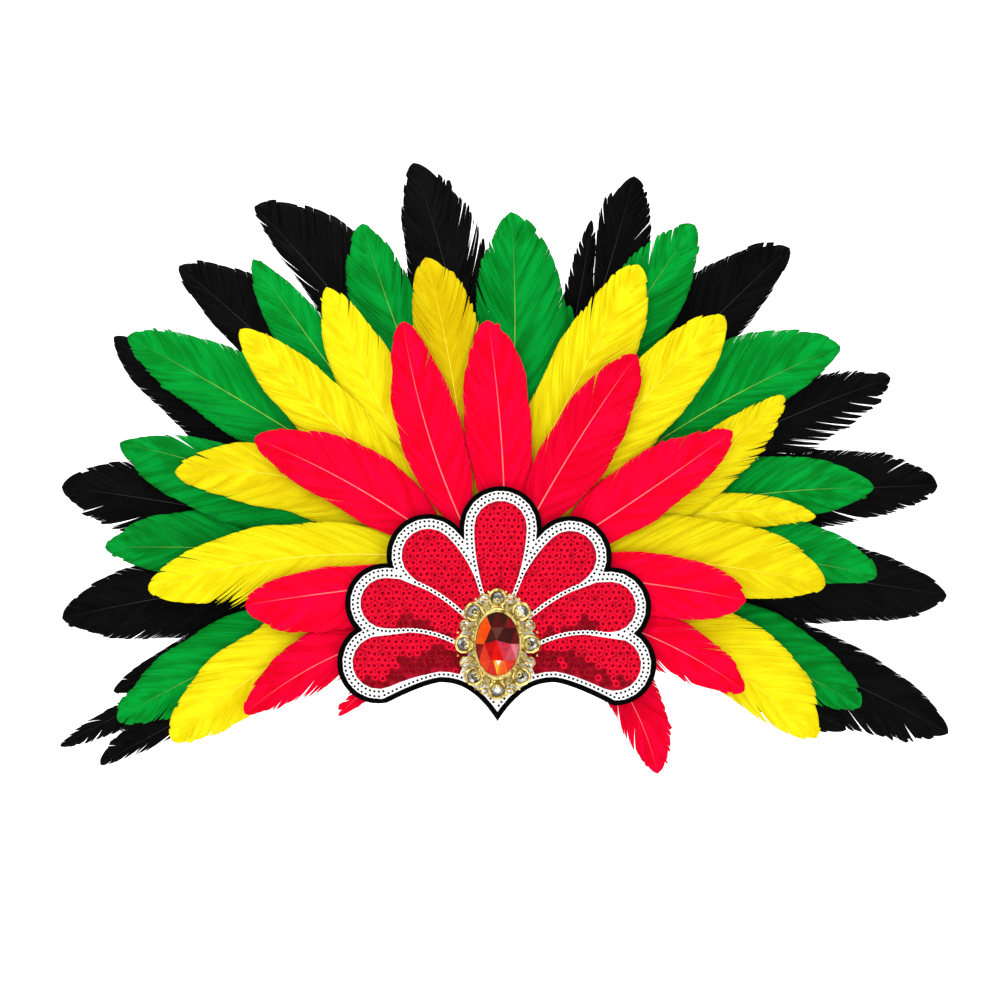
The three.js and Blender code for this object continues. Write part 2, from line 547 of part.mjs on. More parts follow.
function buildSetting() {
  const back = SETTING_BACK;
  const front = back - SETTING_THICKNESS;
  const path = vec2(SETTING_HALF_WIDTH - SCROLL_RADIUS, SETTING_HALF_HEIGHT - SCROLL_RADIUS);
  const rings = [];
  const holes = [];
  const bosses = [];
  for (let i = 0; i < STONES_ROUND; i++) {
    const turn = (2 * Math.PI * i) / STONES_ROUND;
    const made = scroll(vec2(Math.cos(turn) * path.x, Math.sin(turn) * path.y), front, back);
    rings.push(made.ring);
    holes.push(made.hole);
    bosses.push(made.boss);
    const between = turn + Math.PI / STONES_ROUND;
    const centre = vec2(Math.cos(between) * path.x, Math.sin(between) * path.y).multiplyScalar(CUP_OUT);
    const rim = back - CUP_HEIGHT;
    bosses.push(disc(centre, CUP_RADIUS, 8, rim, back), stoneOn(centre, rim));
    bosses.push(disc(centre.clone().multiplyScalar(CUP_STEM), CUP_STEM_RADIUS, 6, front, back));
  }
  const inner = [STONE_HALF_WIDTH + SEAT_GAP, STONE_HALF_HEIGHT + SEAT_GAP];
  const outer = inner.map((half) => half + BEZEL_WALL);
  const foot = outer.map((half) => half + BEZEL_FOOT);
  const plate = prism(ovalRing(...foot, 28), front, back);
  const bezel = prism(ovalRing(...outer, 28), back - BEZEL_HEIGHT, back);
  const seat = prism(ovalRing(...inner, 28), back - BEZEL_HEIGHT - CUT_ROOM, back - STONE_FLOOR);
  const whole = unionOf([plate, ...rings]).subtract(unionOf(holes));
  const setting = unionOf([whole, ...bosses, bezel]).subtract(seat);
  return toGeometry(setting);
}

// The centre stone: an oval girdle, two rows of upper facets, and a table. twist: in facets
function buildStone() {
  const back = SETTING_BACK - STONE_FLOOR - SEAT_GAP;
  const sides = 16;
  const rows = [
    { size: 0.94, front: 0, twist: 0 },
    { size: 1, front: 0.4, twist: 0 },
    { size: 0.8, front: 0.78, twist: 0.5 },
    { size: STONE_TABLE, front: 1, twist: 0 },
  ];
  const positions = [];
  const faces = [];
  for (const row of rows) {
    for (let j = 0; j < sides; j++) {
      const turn = (-2 * Math.PI * (j + row.twist)) / sides;
      const x = Math.cos(turn) * STONE_HALF_WIDTH * row.size;
      const z = Math.sin(turn) * STONE_HALF_HEIGHT * row.size;
      positions.push(x, back - STONE_HEIGHT * row.front, z);
    }
  }
  for (let i = 0; i + 1 < rows.length; i++) {
    for (let j = 0; j < sides; j++) {
      const a = i * sides + j;
      const b = i * sides + ((j + 1) % sides);
      const [above, next] = [a + sides, b + sides];
      faces.push(...(rows[i + 1].twist > 0 ? [a, above, b, b, above, next] : [a, above, next, a, next, b]));
    }
  }
  const table = (rows.length - 1) * sides;
  for (let j = 1; j + 1 < sides; j++) {
    faces.push(0, j, j + 1);
    faces.push(table, table + j + 1, table + j);
  }
  const geometry = new THREE.BufferGeometry();
  geometry.setAttribute("position", new THREE.Float32BufferAttribute(positions, 3));
  geometry.setIndex(faces);
  geometry.computeVertexNormals();
  return geometry;
}

function buildBrooch() {
  const brooch = new THREE.Group();
  brooch.position.set(0, 0, -PLATE_DROP);
  brooch.add(named("brooch_setting", buildSetting(), 0xd8b53c, 0.3, 1));
  brooch.add(named("centre_stone", buildStone(), 0xb3160c, 0.05));
  return brooch;
}

// Back felt and strap

// The back felt, with the padded core that the quills of all four rings are set round
function buildBackFelt() {
  const oval = ovalRing(BACK_HALF_WIDTH, BACK_HALF_HEIGHT, CORE_SIDES).map((p) => p.add(vec2(0, BACK_LIFT)));
  const reach = BACK_HALF_WIDTH + 1;
  const depth = [FAN_FRONT - 1, bowAt(reach) + 1];
  const felt = prism(oval, ...depth).intersect(bowedSlab(-BACK_FELT, 0, reach, CORE_FACETS));
  const core = Object.values(RINGS).map((ring) => {
    const front = FAN_FRONT + ring.order * TIERS * TIER_STEP;
    const round = disc(vec2(0, FAN_LIFT), ring.root - CORE_ROOM, CORE_SIDES, ...depth);
    return round.intersect(bowedSlab(front, -BACK_FELT / 2, reach, CORE_FACETS));
  });
  return named("back_felt", toGeometry(unionOf([felt, ...core])), 0x0d0d0d, 0.9);
}

// The strap's middle line seen from above, from one end on the back felt to the other
function strapLine() {
  const half = [];
  const tabEnd = STRAP_HALF_WIDTH + STRAP_THICKNESS / 2 - STRAP_CORNER;
  const off = SEAT_GAP + STRAP_THICKNESS / 2;
  const tabSteps = 3;
  for (let i = 0; i <= tabSteps; i++) {
    const x = tabEnd - STRAP_TAB + (STRAP_TAB * i) / tabSteps;
    half.push(vec2(x, bowAt(x) + off));
  }
  const start = half[tabSteps];
  const lean = Math.atan2(bowAt(start.x + 1) - bowAt(start.x - 1), 2);
  const radius = STRAP_CORNER / (1 - Math.sin(lean));
  const cornerSteps = 5;
  for (let i = 1; i <= cornerSteps; i++) {
    const turn = lean + ((Math.PI / 2 - lean) * i) / cornerSteps;
    const x = start.x + radius * (Math.sin(turn) - Math.sin(lean));
    half.push(vec2(x, start.y + radius * (Math.cos(lean) - Math.cos(turn))));
  }
  const side = half[half.length - 1];
  const behind = side.y + STRAP_SIDE;
  const backSteps = 9;
  for (let i = 0; i <= backSteps; i++) {
    const turn = (Math.PI / 2) * (i / backSteps);
    half.push(vec2(side.x * Math.cos(turn), behind + STRAP_BACK_DEPTH * Math.sin(turn)));
  }
  const other = half.slice(0, -1).map((p) => vec2(-p.x, p.y));
  return [...half, ...other.reverse()];
}

function buildStrap() {
  const line = strapLine();
  const inner = [];
  const outer = [];
  line.forEach((point, i) => {
    const before = line[Math.max(i - 1, 0)];
    const after = line[Math.min(i + 1, line.length - 1)];
    const along = after.clone().sub(before).normalize();
    const out = vec2(along.y, -along.x).multiplyScalar(STRAP_THICKNESS / 2);
    outer.push(point.clone().add(out));
    inner.unshift(point.clone().sub(out));
  });
  const geometry = new THREE.ExtrudeGeometry(new THREE.Shape([...outer, ...inner]), {
    depth: STRAP_WIDTH,
    bevelEnabled: false,
  });
  geometry.translate(0, 0, -STRAP_WIDTH / 2);
  return named("head_strap", geometry, 0x101010, 0.85);
}

const headdress = new THREE.Group();
headdress.add(buildFan(), buildPlate(), buildBrooch(), buildBackFelt(), buildStrap());

export default headdress;
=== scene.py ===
"""A carnival feather headdress: dyed feathers, a sequinned forehead plate with a brooch, and a strap.

Metres, +Z up, the wearer faces -Y. The sizes below are in millimetres and are turned into metres
where a mesh is made. The plate and the fan are laid out flat in X and Z and set back by one bow.
"""

import math
import random

import bmesh
import bpy
from mathutils import Matrix, Vector


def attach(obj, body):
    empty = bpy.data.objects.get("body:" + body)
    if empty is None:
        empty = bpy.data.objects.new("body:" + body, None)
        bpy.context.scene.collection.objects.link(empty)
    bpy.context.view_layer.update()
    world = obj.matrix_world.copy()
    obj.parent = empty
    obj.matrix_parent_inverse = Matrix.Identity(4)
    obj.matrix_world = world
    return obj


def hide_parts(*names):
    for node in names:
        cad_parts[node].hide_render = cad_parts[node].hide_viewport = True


MM = 0.001

# The fan and the plate, as in the part's own source
SEAT_GAP = 0.3
BOW_RADIUS = 500
BOW_SLOPE = 0.18
BACK_FELT = 2
BACK_HALF_WIDTH = 58
BACK_HALF_HEIGHT = 42
BACK_LIFT = 5
CORE_ROOM = 0.6
STRAP_WIDTH = 25
STRAP_THICKNESS = 1.5
STRAP_TAB = 20
STRAP_CORNER = 26
STRAP_HALF_WIDTH = 77
STRAP_SIDE = 62
STRAP_BACK_DEPTH = 78
QUILL_THICKNESS = 0.9
QUILL_WIDTH = 2.4
QUILL_SLACK = 0.8
TIERS = 3
TIER_SLACK = 0.12
GRIP_RADIUS = 62
GRIP_EASE = 12
SPLAY = 0.008
SWEEP_RADIUS = 1200
CAMBER = 0.6
QUILL_BARE = 0.04
VANE_WIDEST = 0.52
TIP_WIDTH = 0.12
NICK_DEPTH = 0.35
NICK_LENGTH = 0.016
FAN_LIFT = 8
FELT_THICKNESS = 3
CLOTH_THICKNESS = 0.8
TRIM_THICKNESS = 1.2
FELT_EDGE = 2.7
TRIM_WIDTH = 5.7
DIVIDER = 2.2
BROW_EDGE = 3.2
NARROW_TRIM = 3
PLATE_DROP = 19.5
PETAL_REACH = 67
PETAL_RADIUS = 15.3
PETAL_NECK = 8
PETAL_START = 27
BROW_CENTRE = 33
BROW_RISE = 22.6
BROW_POINTED = 2.3
BROW_OUTER = 34
BROW_FALL = 13.5
BROW_FLARE = 1.35
BROW_POINT = 44.9
SETTING_HALF_WIDTH = 25
SETTING_HALF_HEIGHT = 32.2
SETTING_THICKNESS = 2.4
SCROLL_RADIUS = 5.7
SCROLL_WIRE = 1.5
STONES_ROUND = 8
CUP_RADIUS = 3.3
CUP_HEIGHT = 3.6
CUP_OUT = 1.05
BEZEL_HEIGHT = 4.6
STONE_HALF_WIDTH = 12.4
STONE_HALF_HEIGHT = 18.4
STONE_HEIGHT = 7.6

# order from the front, reach, width and root of a full feather
RINGS = {
    "red": (0, 165, 33.5, 30),
    "yellow": (1, 205, 39, 34),
    "green": (2, 235, 41, 38),
    "black": (3, 262, 46, 42),
}

# angle, reach, swing, bend, width, lean, tier, full, nick, as in the part's own source
FEATHERS = {
    "red": [
        (312, 0.84, 32, 0.1, 0.9, 0.15, 2, 2.4, 0),
        (339, 0.93, 10, 0.06, 0.95, 0, 1, 2.2, -0.66),
        (359, 0.875, 26, 0.02, 1.08, 0, 0, 3, 0),
        (35, 1.01, 5, -0.01, 1, 0.05, 1, 2.4, 0),
        (60, 0.98, 8, 0.02, 1.06, -0.05, 0, 2.6, 0.84),
        (92, 0.97, -10, -0.02, 1.08, 0, 1, 2.8, 0),
        (109, 1.02, 7, 0.04, 0.92, -0.1, 0, 2.6, -0.86),
        (147, 1.02, -12, -0.04, 1.06, -0.1, 1, 2.4, 0),
        (182, 0.89, -20, -0.01, 1.1, 0.2, 0, 3, 0),
        (205, 0.98, 8, -0.08, 1, -0.12, 1, 1.8, 0.62),
        (217, 0.7, -14, -0.02, 0.42, 0, 2, 1.8, 0),
    ],
    "yellow": [
        (336, 0.99, 36, 0.06, 1.14, 0.3, 1, 3, -0.86),
        (2, 0.93, 42, 0.03, 1.12, 0.2, 0, 2.8, -0.6),
        (14, 0.93, 16, 0.09, 0.62, 0, 2, 1.9, 0),
        (35, 0.99, 6, -0.05, 0.9, -0.1, 1, 2, -0.84),
        (51, 1.02, 5, 0.03, 1.04, -0.1, 0, 3, 0),
        (67, 1.02, 24, 0, 1.14, -0.12, 1, 2.6, 0.84),
        (102, 0.98, 17, -0.03, 1.04, -0.1, 0, 3, -0.84),
        (119, 1, 4, 0.03, 0.96, -0.05, 1, 2.4, -0.93),
        (134, 1.05, -6, 0, 0.9, 0, 0, 2.6, 0),
        (159, 0.98, -16, -0.11, 0.98, 0.05, 2, 2.6, -0.93),
        (179, 0.99, -36, -0.06, 1.08, 0.05, 0, 2.4, 0.6),
        (204, 1.01, -28, -0.06, 1.08, -0.1, 1, 3, 0),
    ],
    "green": [
        (343, 0.94, 26, 0.04, 1, 0.2, 1, 2.6, -0.9),
        (3, 0.94, 27, 0.05, 0.95, 0.3, 0, 2.8, 0),
        (16, 0.97, 28, 0.05, 0.98, 0.1, 1, 2.6, 0),
        (36, 1.05, 20, 0.05, 1.2, 0.25, 0, 3, 0),
        (62, 1.04, 7, 0.03, 1.12, 0, 1, 3, 0.9),
        (76, 0.74, 4, -0.02, 0.5, 0, 2, 1.8, 0),
        (88, 0.95, 2, -0.03, 1.35, -0.12, 0, 2.4, 0.78),
        (110, 0.98, -8, 0.02, 1, 0.15, 1, 3.2, -0.84),
        (126, 1.03, -6, 0.01, 0.86, 0.1, 0, 2.2, 0),
        (145, 1.12, -16, -0.02, 1.14, -0.12, 1, 2.6, 0),
        (158, 1.01, -8, -0.04, 1.12, 0.3, 0, 2.2, -0.86),
        (173, 0.98, -20, -0.02, 1, -0.15, 1, 2.8, 0),
        (198, 0.99, -22, -0.04, 1.08, -0.05, 0, 2.4, 0.9),
    ],
    "black": [
        (339, 0.83, 20, 0.01, 0.6, 0, 0, 3, 0),
        (343, 1.05, 22, 0.04, 1.12, -0.15, 1, 2.2, -0.94),
        (0, 1, 20, 0.03, 1.06, -0.1, 0, 2.6, 0),
        (14, 1.01, 16, 0.05, 1, 0.1, 1, 3, -0.8),
        (29, 1, 16, 0.03, 0.98, -0.1, 0, 2.4, -0.9),
        (50, 1.01, 8, 0.03, 1, 0.25, 1, 3, 0),
        (72, 0.98, 4, -0.02, 0.9, -0.08, 0, 3.4, 0.8),
        (76, 0.86, 0, -0.03, 0.5, 0, 2, 1.9, 0),
        (101, 0.98, -6, -0.03, 1.14, -0.1, 1, 2.4, -0.8),
        (122, 1.02, -12, -0.05, 1.2, -0.5, 0, 2, 0),
        (134, 1.02, -8, -0.02, 0.96, -0.3, 1, 3, 0),
        (146, 1.03, -6, 0.02, 0.84, 0.1, 0, 2.4, 0),
        (166, 1, -14, -0.02, 1.05, 0, 1, 3.2, 0.86),
        (183, 0.97, -20, -0.03, 1.1, 0, 0, 2.6, 0),
        (194, 0.88, -18, -0.03, 0.65, 0, 1, 2, 0),
        (199, 1.03, -18, -0.03, 0.5, 0, 2, 2.4, 0),
        (203, 0.96, -12, -0.02, 0.7, -0.25, 0, 2.2, 0.92),
    ],
}

# Where a vane is ragged: feather, side (1 is its left vane), from and to along its length, how much
RAGGED = {
    "red_feather_01": [(-1, 0.3, 1.0, 0.7), (1, 0.7, 1.0, 0.5)],
    "red_feather_02": [(-1, 0.25, 0.8, 0.8), (1, 0.75, 1.0, 0.4)],
    "red_feather_04": [(1, 0.7, 1.0, 0.4)],
    "red_feather_10": [(1, 0.25, 0.95, 0.9)],
    "red_feather_11": [(1, 0.3, 1.0, 1.0), (-1, 0.3, 1.0, 1.0)],
    "yellow_feather_02": [(-1, 0.2, 0.62, 0.9)],
    "yellow_feather_03": [(1, 0.6, 1.0, 0.3), (-1, 0.5, 1.0, 0.3)],
    "yellow_feather_04": [(-1, 0.7, 1.0, 0.7), (1, 0.85, 1.0, 0.5)],
    "yellow_feather_06": [(1, 0.75, 1.0, 0.6)],
    "yellow_feather_07": [(-1, 0.7, 1.0, 0.5)],
    "yellow_feather_11": [(1, 0.45, 0.82, 1.8), (-1, 0.85, 1.0, 0.8)],
    "yellow_feather_12": [(1, 0.7, 1.0, 0.4)],
    "green_feather_01": [(-1, 0.7, 1.0, 0.6)],
    "green_feather_05": [(1, 0.6, 1.0, 0.3)],
    "green_feather_07": [(1, 0.5, 0.95, 0.3)],
    "green_feather_10": [(1, 0.6, 1.0, 0.3)],
    "green_feather_13": [(1, 0.7, 1.0, 0.7)],
    "black_feather_02": [(-1, 0.6, 1.0, 0.6)],
    "black_feather_04": [(-1, 0.6, 1.0, 0.5), (1, 0.8, 1.0, 0.4)],
    "black_feather_05": [(-1, 0.55, 1.0, 0.9), (1, 0.85, 1.0, 0.4)],
    "black_feather_07": [(1, 0.55, 0.95, 1.0), (-1, 0.7, 1.0, 0.3)],
    "black_feather_08": [(1, 0.5, 1.0, 0.8), (-1, 0.5, 1.0, 0.8)],
    "black_feather_09": [(-1, 0.5, 0.95, 0.6)],
    "black_feather_10": [(1, 0.6, 1.0, 0.6)],
    "black_feather_13": [(1, 0.6, 1.0, 0.4)],
    "black_feather_16": [(1, 0.6, 1.0, 0.8), (-1, 0.6, 1.0, 0.8)],
    "black_feather_17": [(1, 0.5, 1.0, 0.8), (-1, 0.6, 1.0, 0.8)],
}

# Where a vane is narrower, or below 0 wider, than its CAD solid: feather, side, from, to, how much
NARROWED = {
    "red_feather_04": [(1, 0.2, 0.8, -0.2)],
    "red_feather_05": [(-1, 0.2, 0.8, -0.2)],
    "red_feather_06": [(1, 0.2, 0.8, -0.16)],
    "red_feather_07": [(-1, 0.2, 0.8, -0.16), (1, 0.2, 0.8, -0.2)],
    "red_feather_08": [(-1, 0.2, 0.8, -0.2)],
    "black_feather_07": [(1, 0.4, 0.88, 0.5)],
    "black_feather_08": [(-1, 0.55, 1.0, 0.35)],
    "black_feather_16": [(-1, 0.6, 1.0, 0.3)],
    "black_feather_17": [(1, 0.55, 1.0, 0.35)],
}

# Feathers dyed or shaded darker (above 1) or lighter than their ring
SHADES = {"yellow_feather_07": 3.2, "yellow_feather_10": 0.9, "green_feather_12": 0.9}

# angle, neck, reach, radius, waist, start, bow, as in the part's own source
PETALS = [
    (-10, -30, 1.03, 1, 0.98, 0.8, 0.11),
    (18, 18, 1.03, 0.96, 1, 0.8, 0.09),
    (50, 57, 0.98, 1, 0.98, 1.02, 0.01),
    (88.5, 89, 1.01, 1, 0.9, 0.9, 0),
    (128, 123, 0.97, 1.02, 0.98, 1.02, -0.02),
    (160, 161, 1.03, 0.96, 1, 0.8, -0.09),
    (189, 209, 1.04, 1, 0.98, 0.8, -0.11),
]

TIER_STEP = QUILL_THICKNESS + SEAT_GAP + TIER_SLACK
STACK = (len(RINGS) * TIERS - 1) * TIER_STEP + QUILL_THICKNESS
FAN_FRONT = -(BACK_FELT + SEAT_GAP + QUILL_SLACK + STACK)
FELT_BACK = FAN_FRONT - SEAT_GAP
CLOTH_BACK = FELT_BACK - FELT_THICKNESS - SEAT_GAP
TRIM_BACK = CLOTH_BACK - CLOTH_THICKNESS - SEAT_GAP
SETTING_BACK = TRIM_BACK - TRIM_THICKNESS - SEAT_GAP
BOW_WIDTH = BOW_RADIUS * BOW_SLOPE

# Detail of the feathers
BARB_PITCH = 1.2  # between the modelled barb lines along the shaft
BARB_POINTS = 8  # along each barb
BARB_RUN = 1.9  # how far a barb runs towards the tip, as a share of its run sideways
BARB_BOW = 0.13  # of a barb's middle outwards, as a share of the vane's width
BARB_CUP = 0.22  # how far a barb's middle rises, as a share of the room behind it
FIRST_BARB = QUILL_BARE + 0.01
VANE_SHEET = 0.22
EDGE_WAVE = 0.022  # of a vane's uneven outline, as a share of its width
TIP_CLOSES = 0.012  # share of the length over which the very tip closes
TIP_STARTS = 0.86  # beyond this share of the length the barbs end unevenly
SPLIT_START = (0.84, 0.97)  # where a vane parts, as a share of its barbs
SPLIT_GAP = (0.03, 0.11)
TEAR_START = (0.6, 0.9)
TEAR_GAP = (0.14, 0.34)
TEAR_CHANCE = (0.03, 0.3)  # of a split that goes deep: at least, and more on a ragged vane
CLUMPS = (1, 2, 3, 4, 6, 8)  # barbs that hold together
RAGGED_CLUMPS = (1, 2, 3, 4, 5)
TUFT = 0.38  # how much longer a ragged clump's middle is, at most
SWAY_STARTS = 0.75  # share of a barb beyond which its clump sways aside
# The vanes' darkening towards the root is painted shade, where the feathers in front overlap them
SHADED_ROOT = 0.42  # share of the length over which a vane is darker towards its root
NICK_OPENS = 0.22  # half the nick's gap, as a share of its length
SHAFT_STEPS = 40
SHAFT_SIDES = 8
SHAFT_ENDS = 0.985  # share of the length
SHAFT_HALF_WIDTH = 0.44  # above the bare quill
SHAFT_LEAST = 0.06

# Detail of the back felt, its core and the strap
PAD_SIDES = 96
PAD_RINGS = 8
PAD_ROOM = 0.1  # the core's ends stay this far inside the solid's
STRAP_ROWS = 8

# Detail of the felt plate, which is cut into strips so that it can bow
FELT_STRIP = 4
FELT_STRIPS = 24  # to each side of the middle

# Detail of the sequins
RED_SEQUIN = 2.15
RED_SPACING = 4.05
WHITE_SEQUIN = 1.32
WHITE_SPACING = 2.62
BAND_ROWS = (1.45, 4.25)  # from the petal's edge
ROW_RISE = 0.87  # between staggered rows, as a share of the spacing
RED_HOLE = 0.85
WHITE_HOLE = 0.65
RED_STITCH = 1.02
WHITE_STITCH = 0.8
STITCH_PROUD = 0.1
RED_EDGE = 0.7  # that red sequins keep from a petal's edge
SEQUIN_PAINTED_SHADE = 0.86  # how much darker a red sequin with painted shade is
SHADE_FLIPPED_SEQUINS = 0.1  # share of the red sequins whose painted shade is flipped: lit ones among the shaded, partly shaded ones elsewhere
SHADED_PETALS = (0, 6)  # the lowest petals, whose sequins near the brooch take painted shade for their dark reflections
PETALS_SHADED_BELOW = (1, 5)  # petals whose sequins along their lower side take painted shade

# Detail of the brooch
OPENWORK_WIRE = SCROLL_WIRE * 0.62
OPENWORK_PATH = (SETTING_HALF_WIDTH - SCROLL_RADIUS, SETTING_HALF_HEIGHT - SCROLL_RADIUS)
CUP_PATH = (OPENWORK_PATH[0] * CUP_OUT, OPENWORK_PATH[1] * CUP_OUT)
BEZEL_PATH = (STONE_HALF_WIDTH + 0.95, STONE_HALF_HEIGHT + 0.95)
GRAINS = 56  # round the bezel
GRAIN_OUT = 1.15
GRAIN = 0.62
BOSS = (1.15, 0.45)  # radius of the ring and of its wire
CRESCENT = (2.5, 0.35)
CUP_RIM = 0.5
BEAD = 0.85
BEAD_OUT = 4.2  # from the scrolls' path
CURL = 0.95
CURL_IN = 4.6
CLAWS = 3  # on each cup
CLAW = 0.42
CLAW_REACH = 2.75
STONE_FLOOR = 1
STONE_GIRDLE = 0.4  # its height, as a share of the stone's
STONE_FOOT = 0.94
STONE_TABLE = (0.62, 0.6)
STONE_SIDES = 6
GIRDLE_POINTS = 4  # to each twelfth of the girdle

# The photograph's frame: its width, and the place that its middle shows
FRAME_WIDTH = 0.58
FRAME_CENTRE = (0.00145, 0.0638)
CAMERA_DISTANCE = 12.0
SENSOR = 36

# The studio, in metres
PAPER_HALF_WIDTH = 4
PAPER_FRONT = -3.5
PAPER_FLOOR = -0.75
PAPER_CURVE_STARTS = 0.7
PAPER_CURVE = 0.8
PAPER_TOP = 3.2
AIM = (0, 0, 0.06)

# Colours of a dyed vane: deep dye, which also takes the painted shade towards the root, middle and bright
# dye, gloss, roughness and shine
VANE_DYES = {
    "red": ((0.3, 0.0, 0.008), (0.8, 0.0, 0.01), (0.88, 0.001, 0.042), (1.0, 0.25, 0.35), 0.6, 0.05),
    "yellow": ((0.5, 0.32, 0.0), (0.69, 0.54, 0.0), (0.83, 0.74, 0.008), (1.0, 0.95, 0.4), 0.6, 0.06),
    "green": ((0.0, 0.06, 0.004), (0.0, 0.17, 0.008), (0.0, 0.32, 0.035), (0.3, 1.0, 0.5), 0.5, 0.07),
    "black": ((0.0002,) * 3, (0.0005,) * 3, (0.003,) * 3, (1, 1, 1), 0.4, 0.03),
}

# Colours of a shaft: near its root and at its tip
SHAFT_DYES = {
    "red": ((0.95, 0.22, 0.2), (0.8, 0.01, 0.04)),
    "yellow": ((0.95, 0.8, 0.05), (0.75, 0.56, 0.01)),
    "green": ((0.35, 0.6, 0.05), (0.0, 0.2, 0.03)),
    "black": ((0.04, 0.04, 0.04), (0.002, 0.002, 0.002)),
}

# Colours of a cloth, felt or thread: ground and fleck, scale of the fibres, roughness and shine
FABRICS = {
    "black_wool_felt": ((0.0006, 0.0006, 0.0006), (0.003, 0.003, 0.003), 1400.0, 0.9, 0.02),
    "red_backing_cloth": ((0.3, 0.0, 0.01), (0.55, 0.0, 0.03), 1200.0, 0.6, 0.1),
    "white_braid_cloth": ((0.86, 0.85, 0.84), (1, 1, 1), 1100.0, 0.6, 0.1),
    "dark_red_thread": ((0.16, 0.0, 0.008), (0.28, 0.0, 0.02), 1500.0, 0.9, 0.02),
    "black_thread": ((0.001, 0.001, 0.001), (0.004, 0.004, 0.004), 1500.0, 0.9, 0.02),
}

# Colours of the sequins: dark, which on the red ones is painted shade and on the white ones a darker tone,
# and bright, roughness and shine
FOILS = {
    "red_sequin_foil": ((0.2, 0.0, 0.003), (0.88, 0.001, 0.026), 0.3, 0.08),
    "white_sequin_gloss": ((0.8, 0.79, 0.78), (1, 1, 1), 0.3, 0.3),
}
GOLD = ((1.0, 0.8, 0.28), (0.24, 0.14, 0.012))  # bright, and dark where patina and painted dark reflections lie
GOLD_ROUGHNESS = 0.14
CRYSTAL_REFLECTIONS = ((0.01, 0.01, 0.008), (0.95, 0.94, 0.88))  # painted dark and bright facet reflections
CRYSTAL_DUST = (0.25, 0.2, 0.1)
STONE_DUST = (0.02, 0.0, 0.0)
ELASTIC = ((0.004, 0.004, 0.004), (0.03, 0.03, 0.03))


# Layout


def polar(angle, reach):
    return Vector((math.cos(math.radians(angle)) * reach, math.sin(math.radians(angle)) * reach))


def left_of(direction):
    return Vector((-direction.y, direction.x))


def bow_at(x):
    return BOW_WIDTH * BOW_SLOPE * (math.hypot(1, x / BOW_WIDTH) - 1)


def bow_lean(x):
    return math.atan2(bow_at(x + 1) - bow_at(x - 1), 2)


class BowedLine:
    """A curve between two points that bows to its left by a share of its length."""

    def __init__(self, start, end, bow):
        self.start = start
        self.end = end
        self.middle = (start + end) * 0.5 + left_of(end - start) * (2 * bow)
        steps = 200  # for its length
        self.lengths = [0.0]
        before = start
        for i in range(1, steps + 1):
            here = self.point(i / steps)
            self.lengths.append(self.lengths[-1] + (here - before).length)
            before = here

    def point(self, t):
        a = self.start.lerp(self.middle, t)
        return a.lerp(self.middle.lerp(self.end, t), t)

    def length(self):
        return self.lengths[-1]

    def share_at(self, along):
        """The curve's own share for a share of its length."""
        target = min(max(along, 0.0), 1.0) * self.lengths[-1]
        low, high = 0, len(self.lengths) - 1
        while high - low > 1:
            mid = (low + high) // 2
            if self.lengths[mid] > target:
                high = mid
            else:
                low = mid
        span = self.lengths[high] - self.lengths[low]
        return (low + (target - self.lengths[low]) / span) / (len(self.lengths) - 1)

    def point_at(self, along):
        return self.point(self.share_at(along))

    def heading(self, t):
        return ((self.middle - self.start) * (1 - t) + (self.end - self.middle) * t).normalized()

    def heading_at(self, along):
        return self.heading(self.share_at(along))


def clean_selection():
    if bpy.context.object and bpy.context.object.mode != "OBJECT":
        bpy.ops.object.mode_set(mode="OBJECT")
    bpy.ops.object.select_all(action="DESELECT")


def pick(obj):
    clean_selection()
    obj.select_set(True)
    bpy.context.view_layer.objects.active = obj


def in_edit(obj):
    pick(obj)
    bpy.ops.object.mode_set(mode="EDIT")
    bpy.ops.mesh.select_all(action="SELECT")


def leave_edit():
    bpy.ops.object.mode_set(mode="OBJECT")


def finished(obj, modifier):
    pick(obj)
    bpy.ops.object.modifier_apply(modifier=modifier.name)


def added(name, material):
    """The primitive just added, named, with its place put into its mesh."""
    obj = bpy.context.object
    obj.name = name
    obj.data.name = name
    pick(obj)
    bpy.ops.object.transform_apply(location=True, rotation=True, scale=True)
    obj.data.materials.clear()
    obj.data.materials.append(material)
    return obj


def joined(name, parts):
    clean_selection()
    for part in parts:
        part.select_set(True)
    bpy.context.view_layer.objects.active = parts[0]
    bpy.ops.object.join()
    whole = bpy.context.object
    whole.name = name
    whole.data.name = name
    return whole


def in_scene(thing):
    bpy.context.scene.collection.objects.link(thing)
    return thing


def sheet_from(name, points, faces, material):
    mesh = bpy.data.meshes.new(name)
    mesh.from_pydata([tuple(p) for p in points], [], faces)
    mesh.materials.append(material)
    return in_scene(bpy.data.objects.new(name, mesh))


def face_outwards(obj):
    in_edit(obj)
    bpy.ops.mesh.normals_make_consistent(inside=False)
    leave_edit()


def round_all(obj):
    for polygon in obj.data.polygons:
        polygon.use_smooth = True


def smooth(obj, angle=40):
    pick(obj)
    bpy.ops.object.shade_smooth_by_angle(angle=math.radians(angle))


def thickened(obj, thickness, offset=0.0):
    solid = obj.modifiers.new("Thickness", "SOLIDIFY")
    solid.thickness = thickness * MM
    solid.offset = offset
    finished(obj, solid)


def soft_edge(obj, name, width, segments):
    bevel = obj.modifiers.new(name, "BEVEL")
    bevel.width = width * MM
    bevel.segments = segments
    bevel.limit_method = "ANGLE"
    bevel.angle_limit = math.radians(60)
    finished(obj, bevel)


# Materials


def new_group(name, inputs, outputs):
    group = bpy.data.node_groups.new(name, "ShaderNodeTree")
    for label, kind, value in inputs:
        socket = group.interface.new_socket(name=label, in_out="INPUT", socket_type=kind)
        socket.default_value = value
    for label, kind in outputs:
        group.interface.new_socket(name=label, in_out="OUTPUT", socket_type=kind)
    return group, group.nodes.new("NodeGroupInput"), group.nodes.new("NodeGroupOutput")


def feed(tree, socket, value):
    if isinstance(value, bpy.types.NodeSocket):
        tree.links.new(value, socket)
    else:
        socket.default_value = value


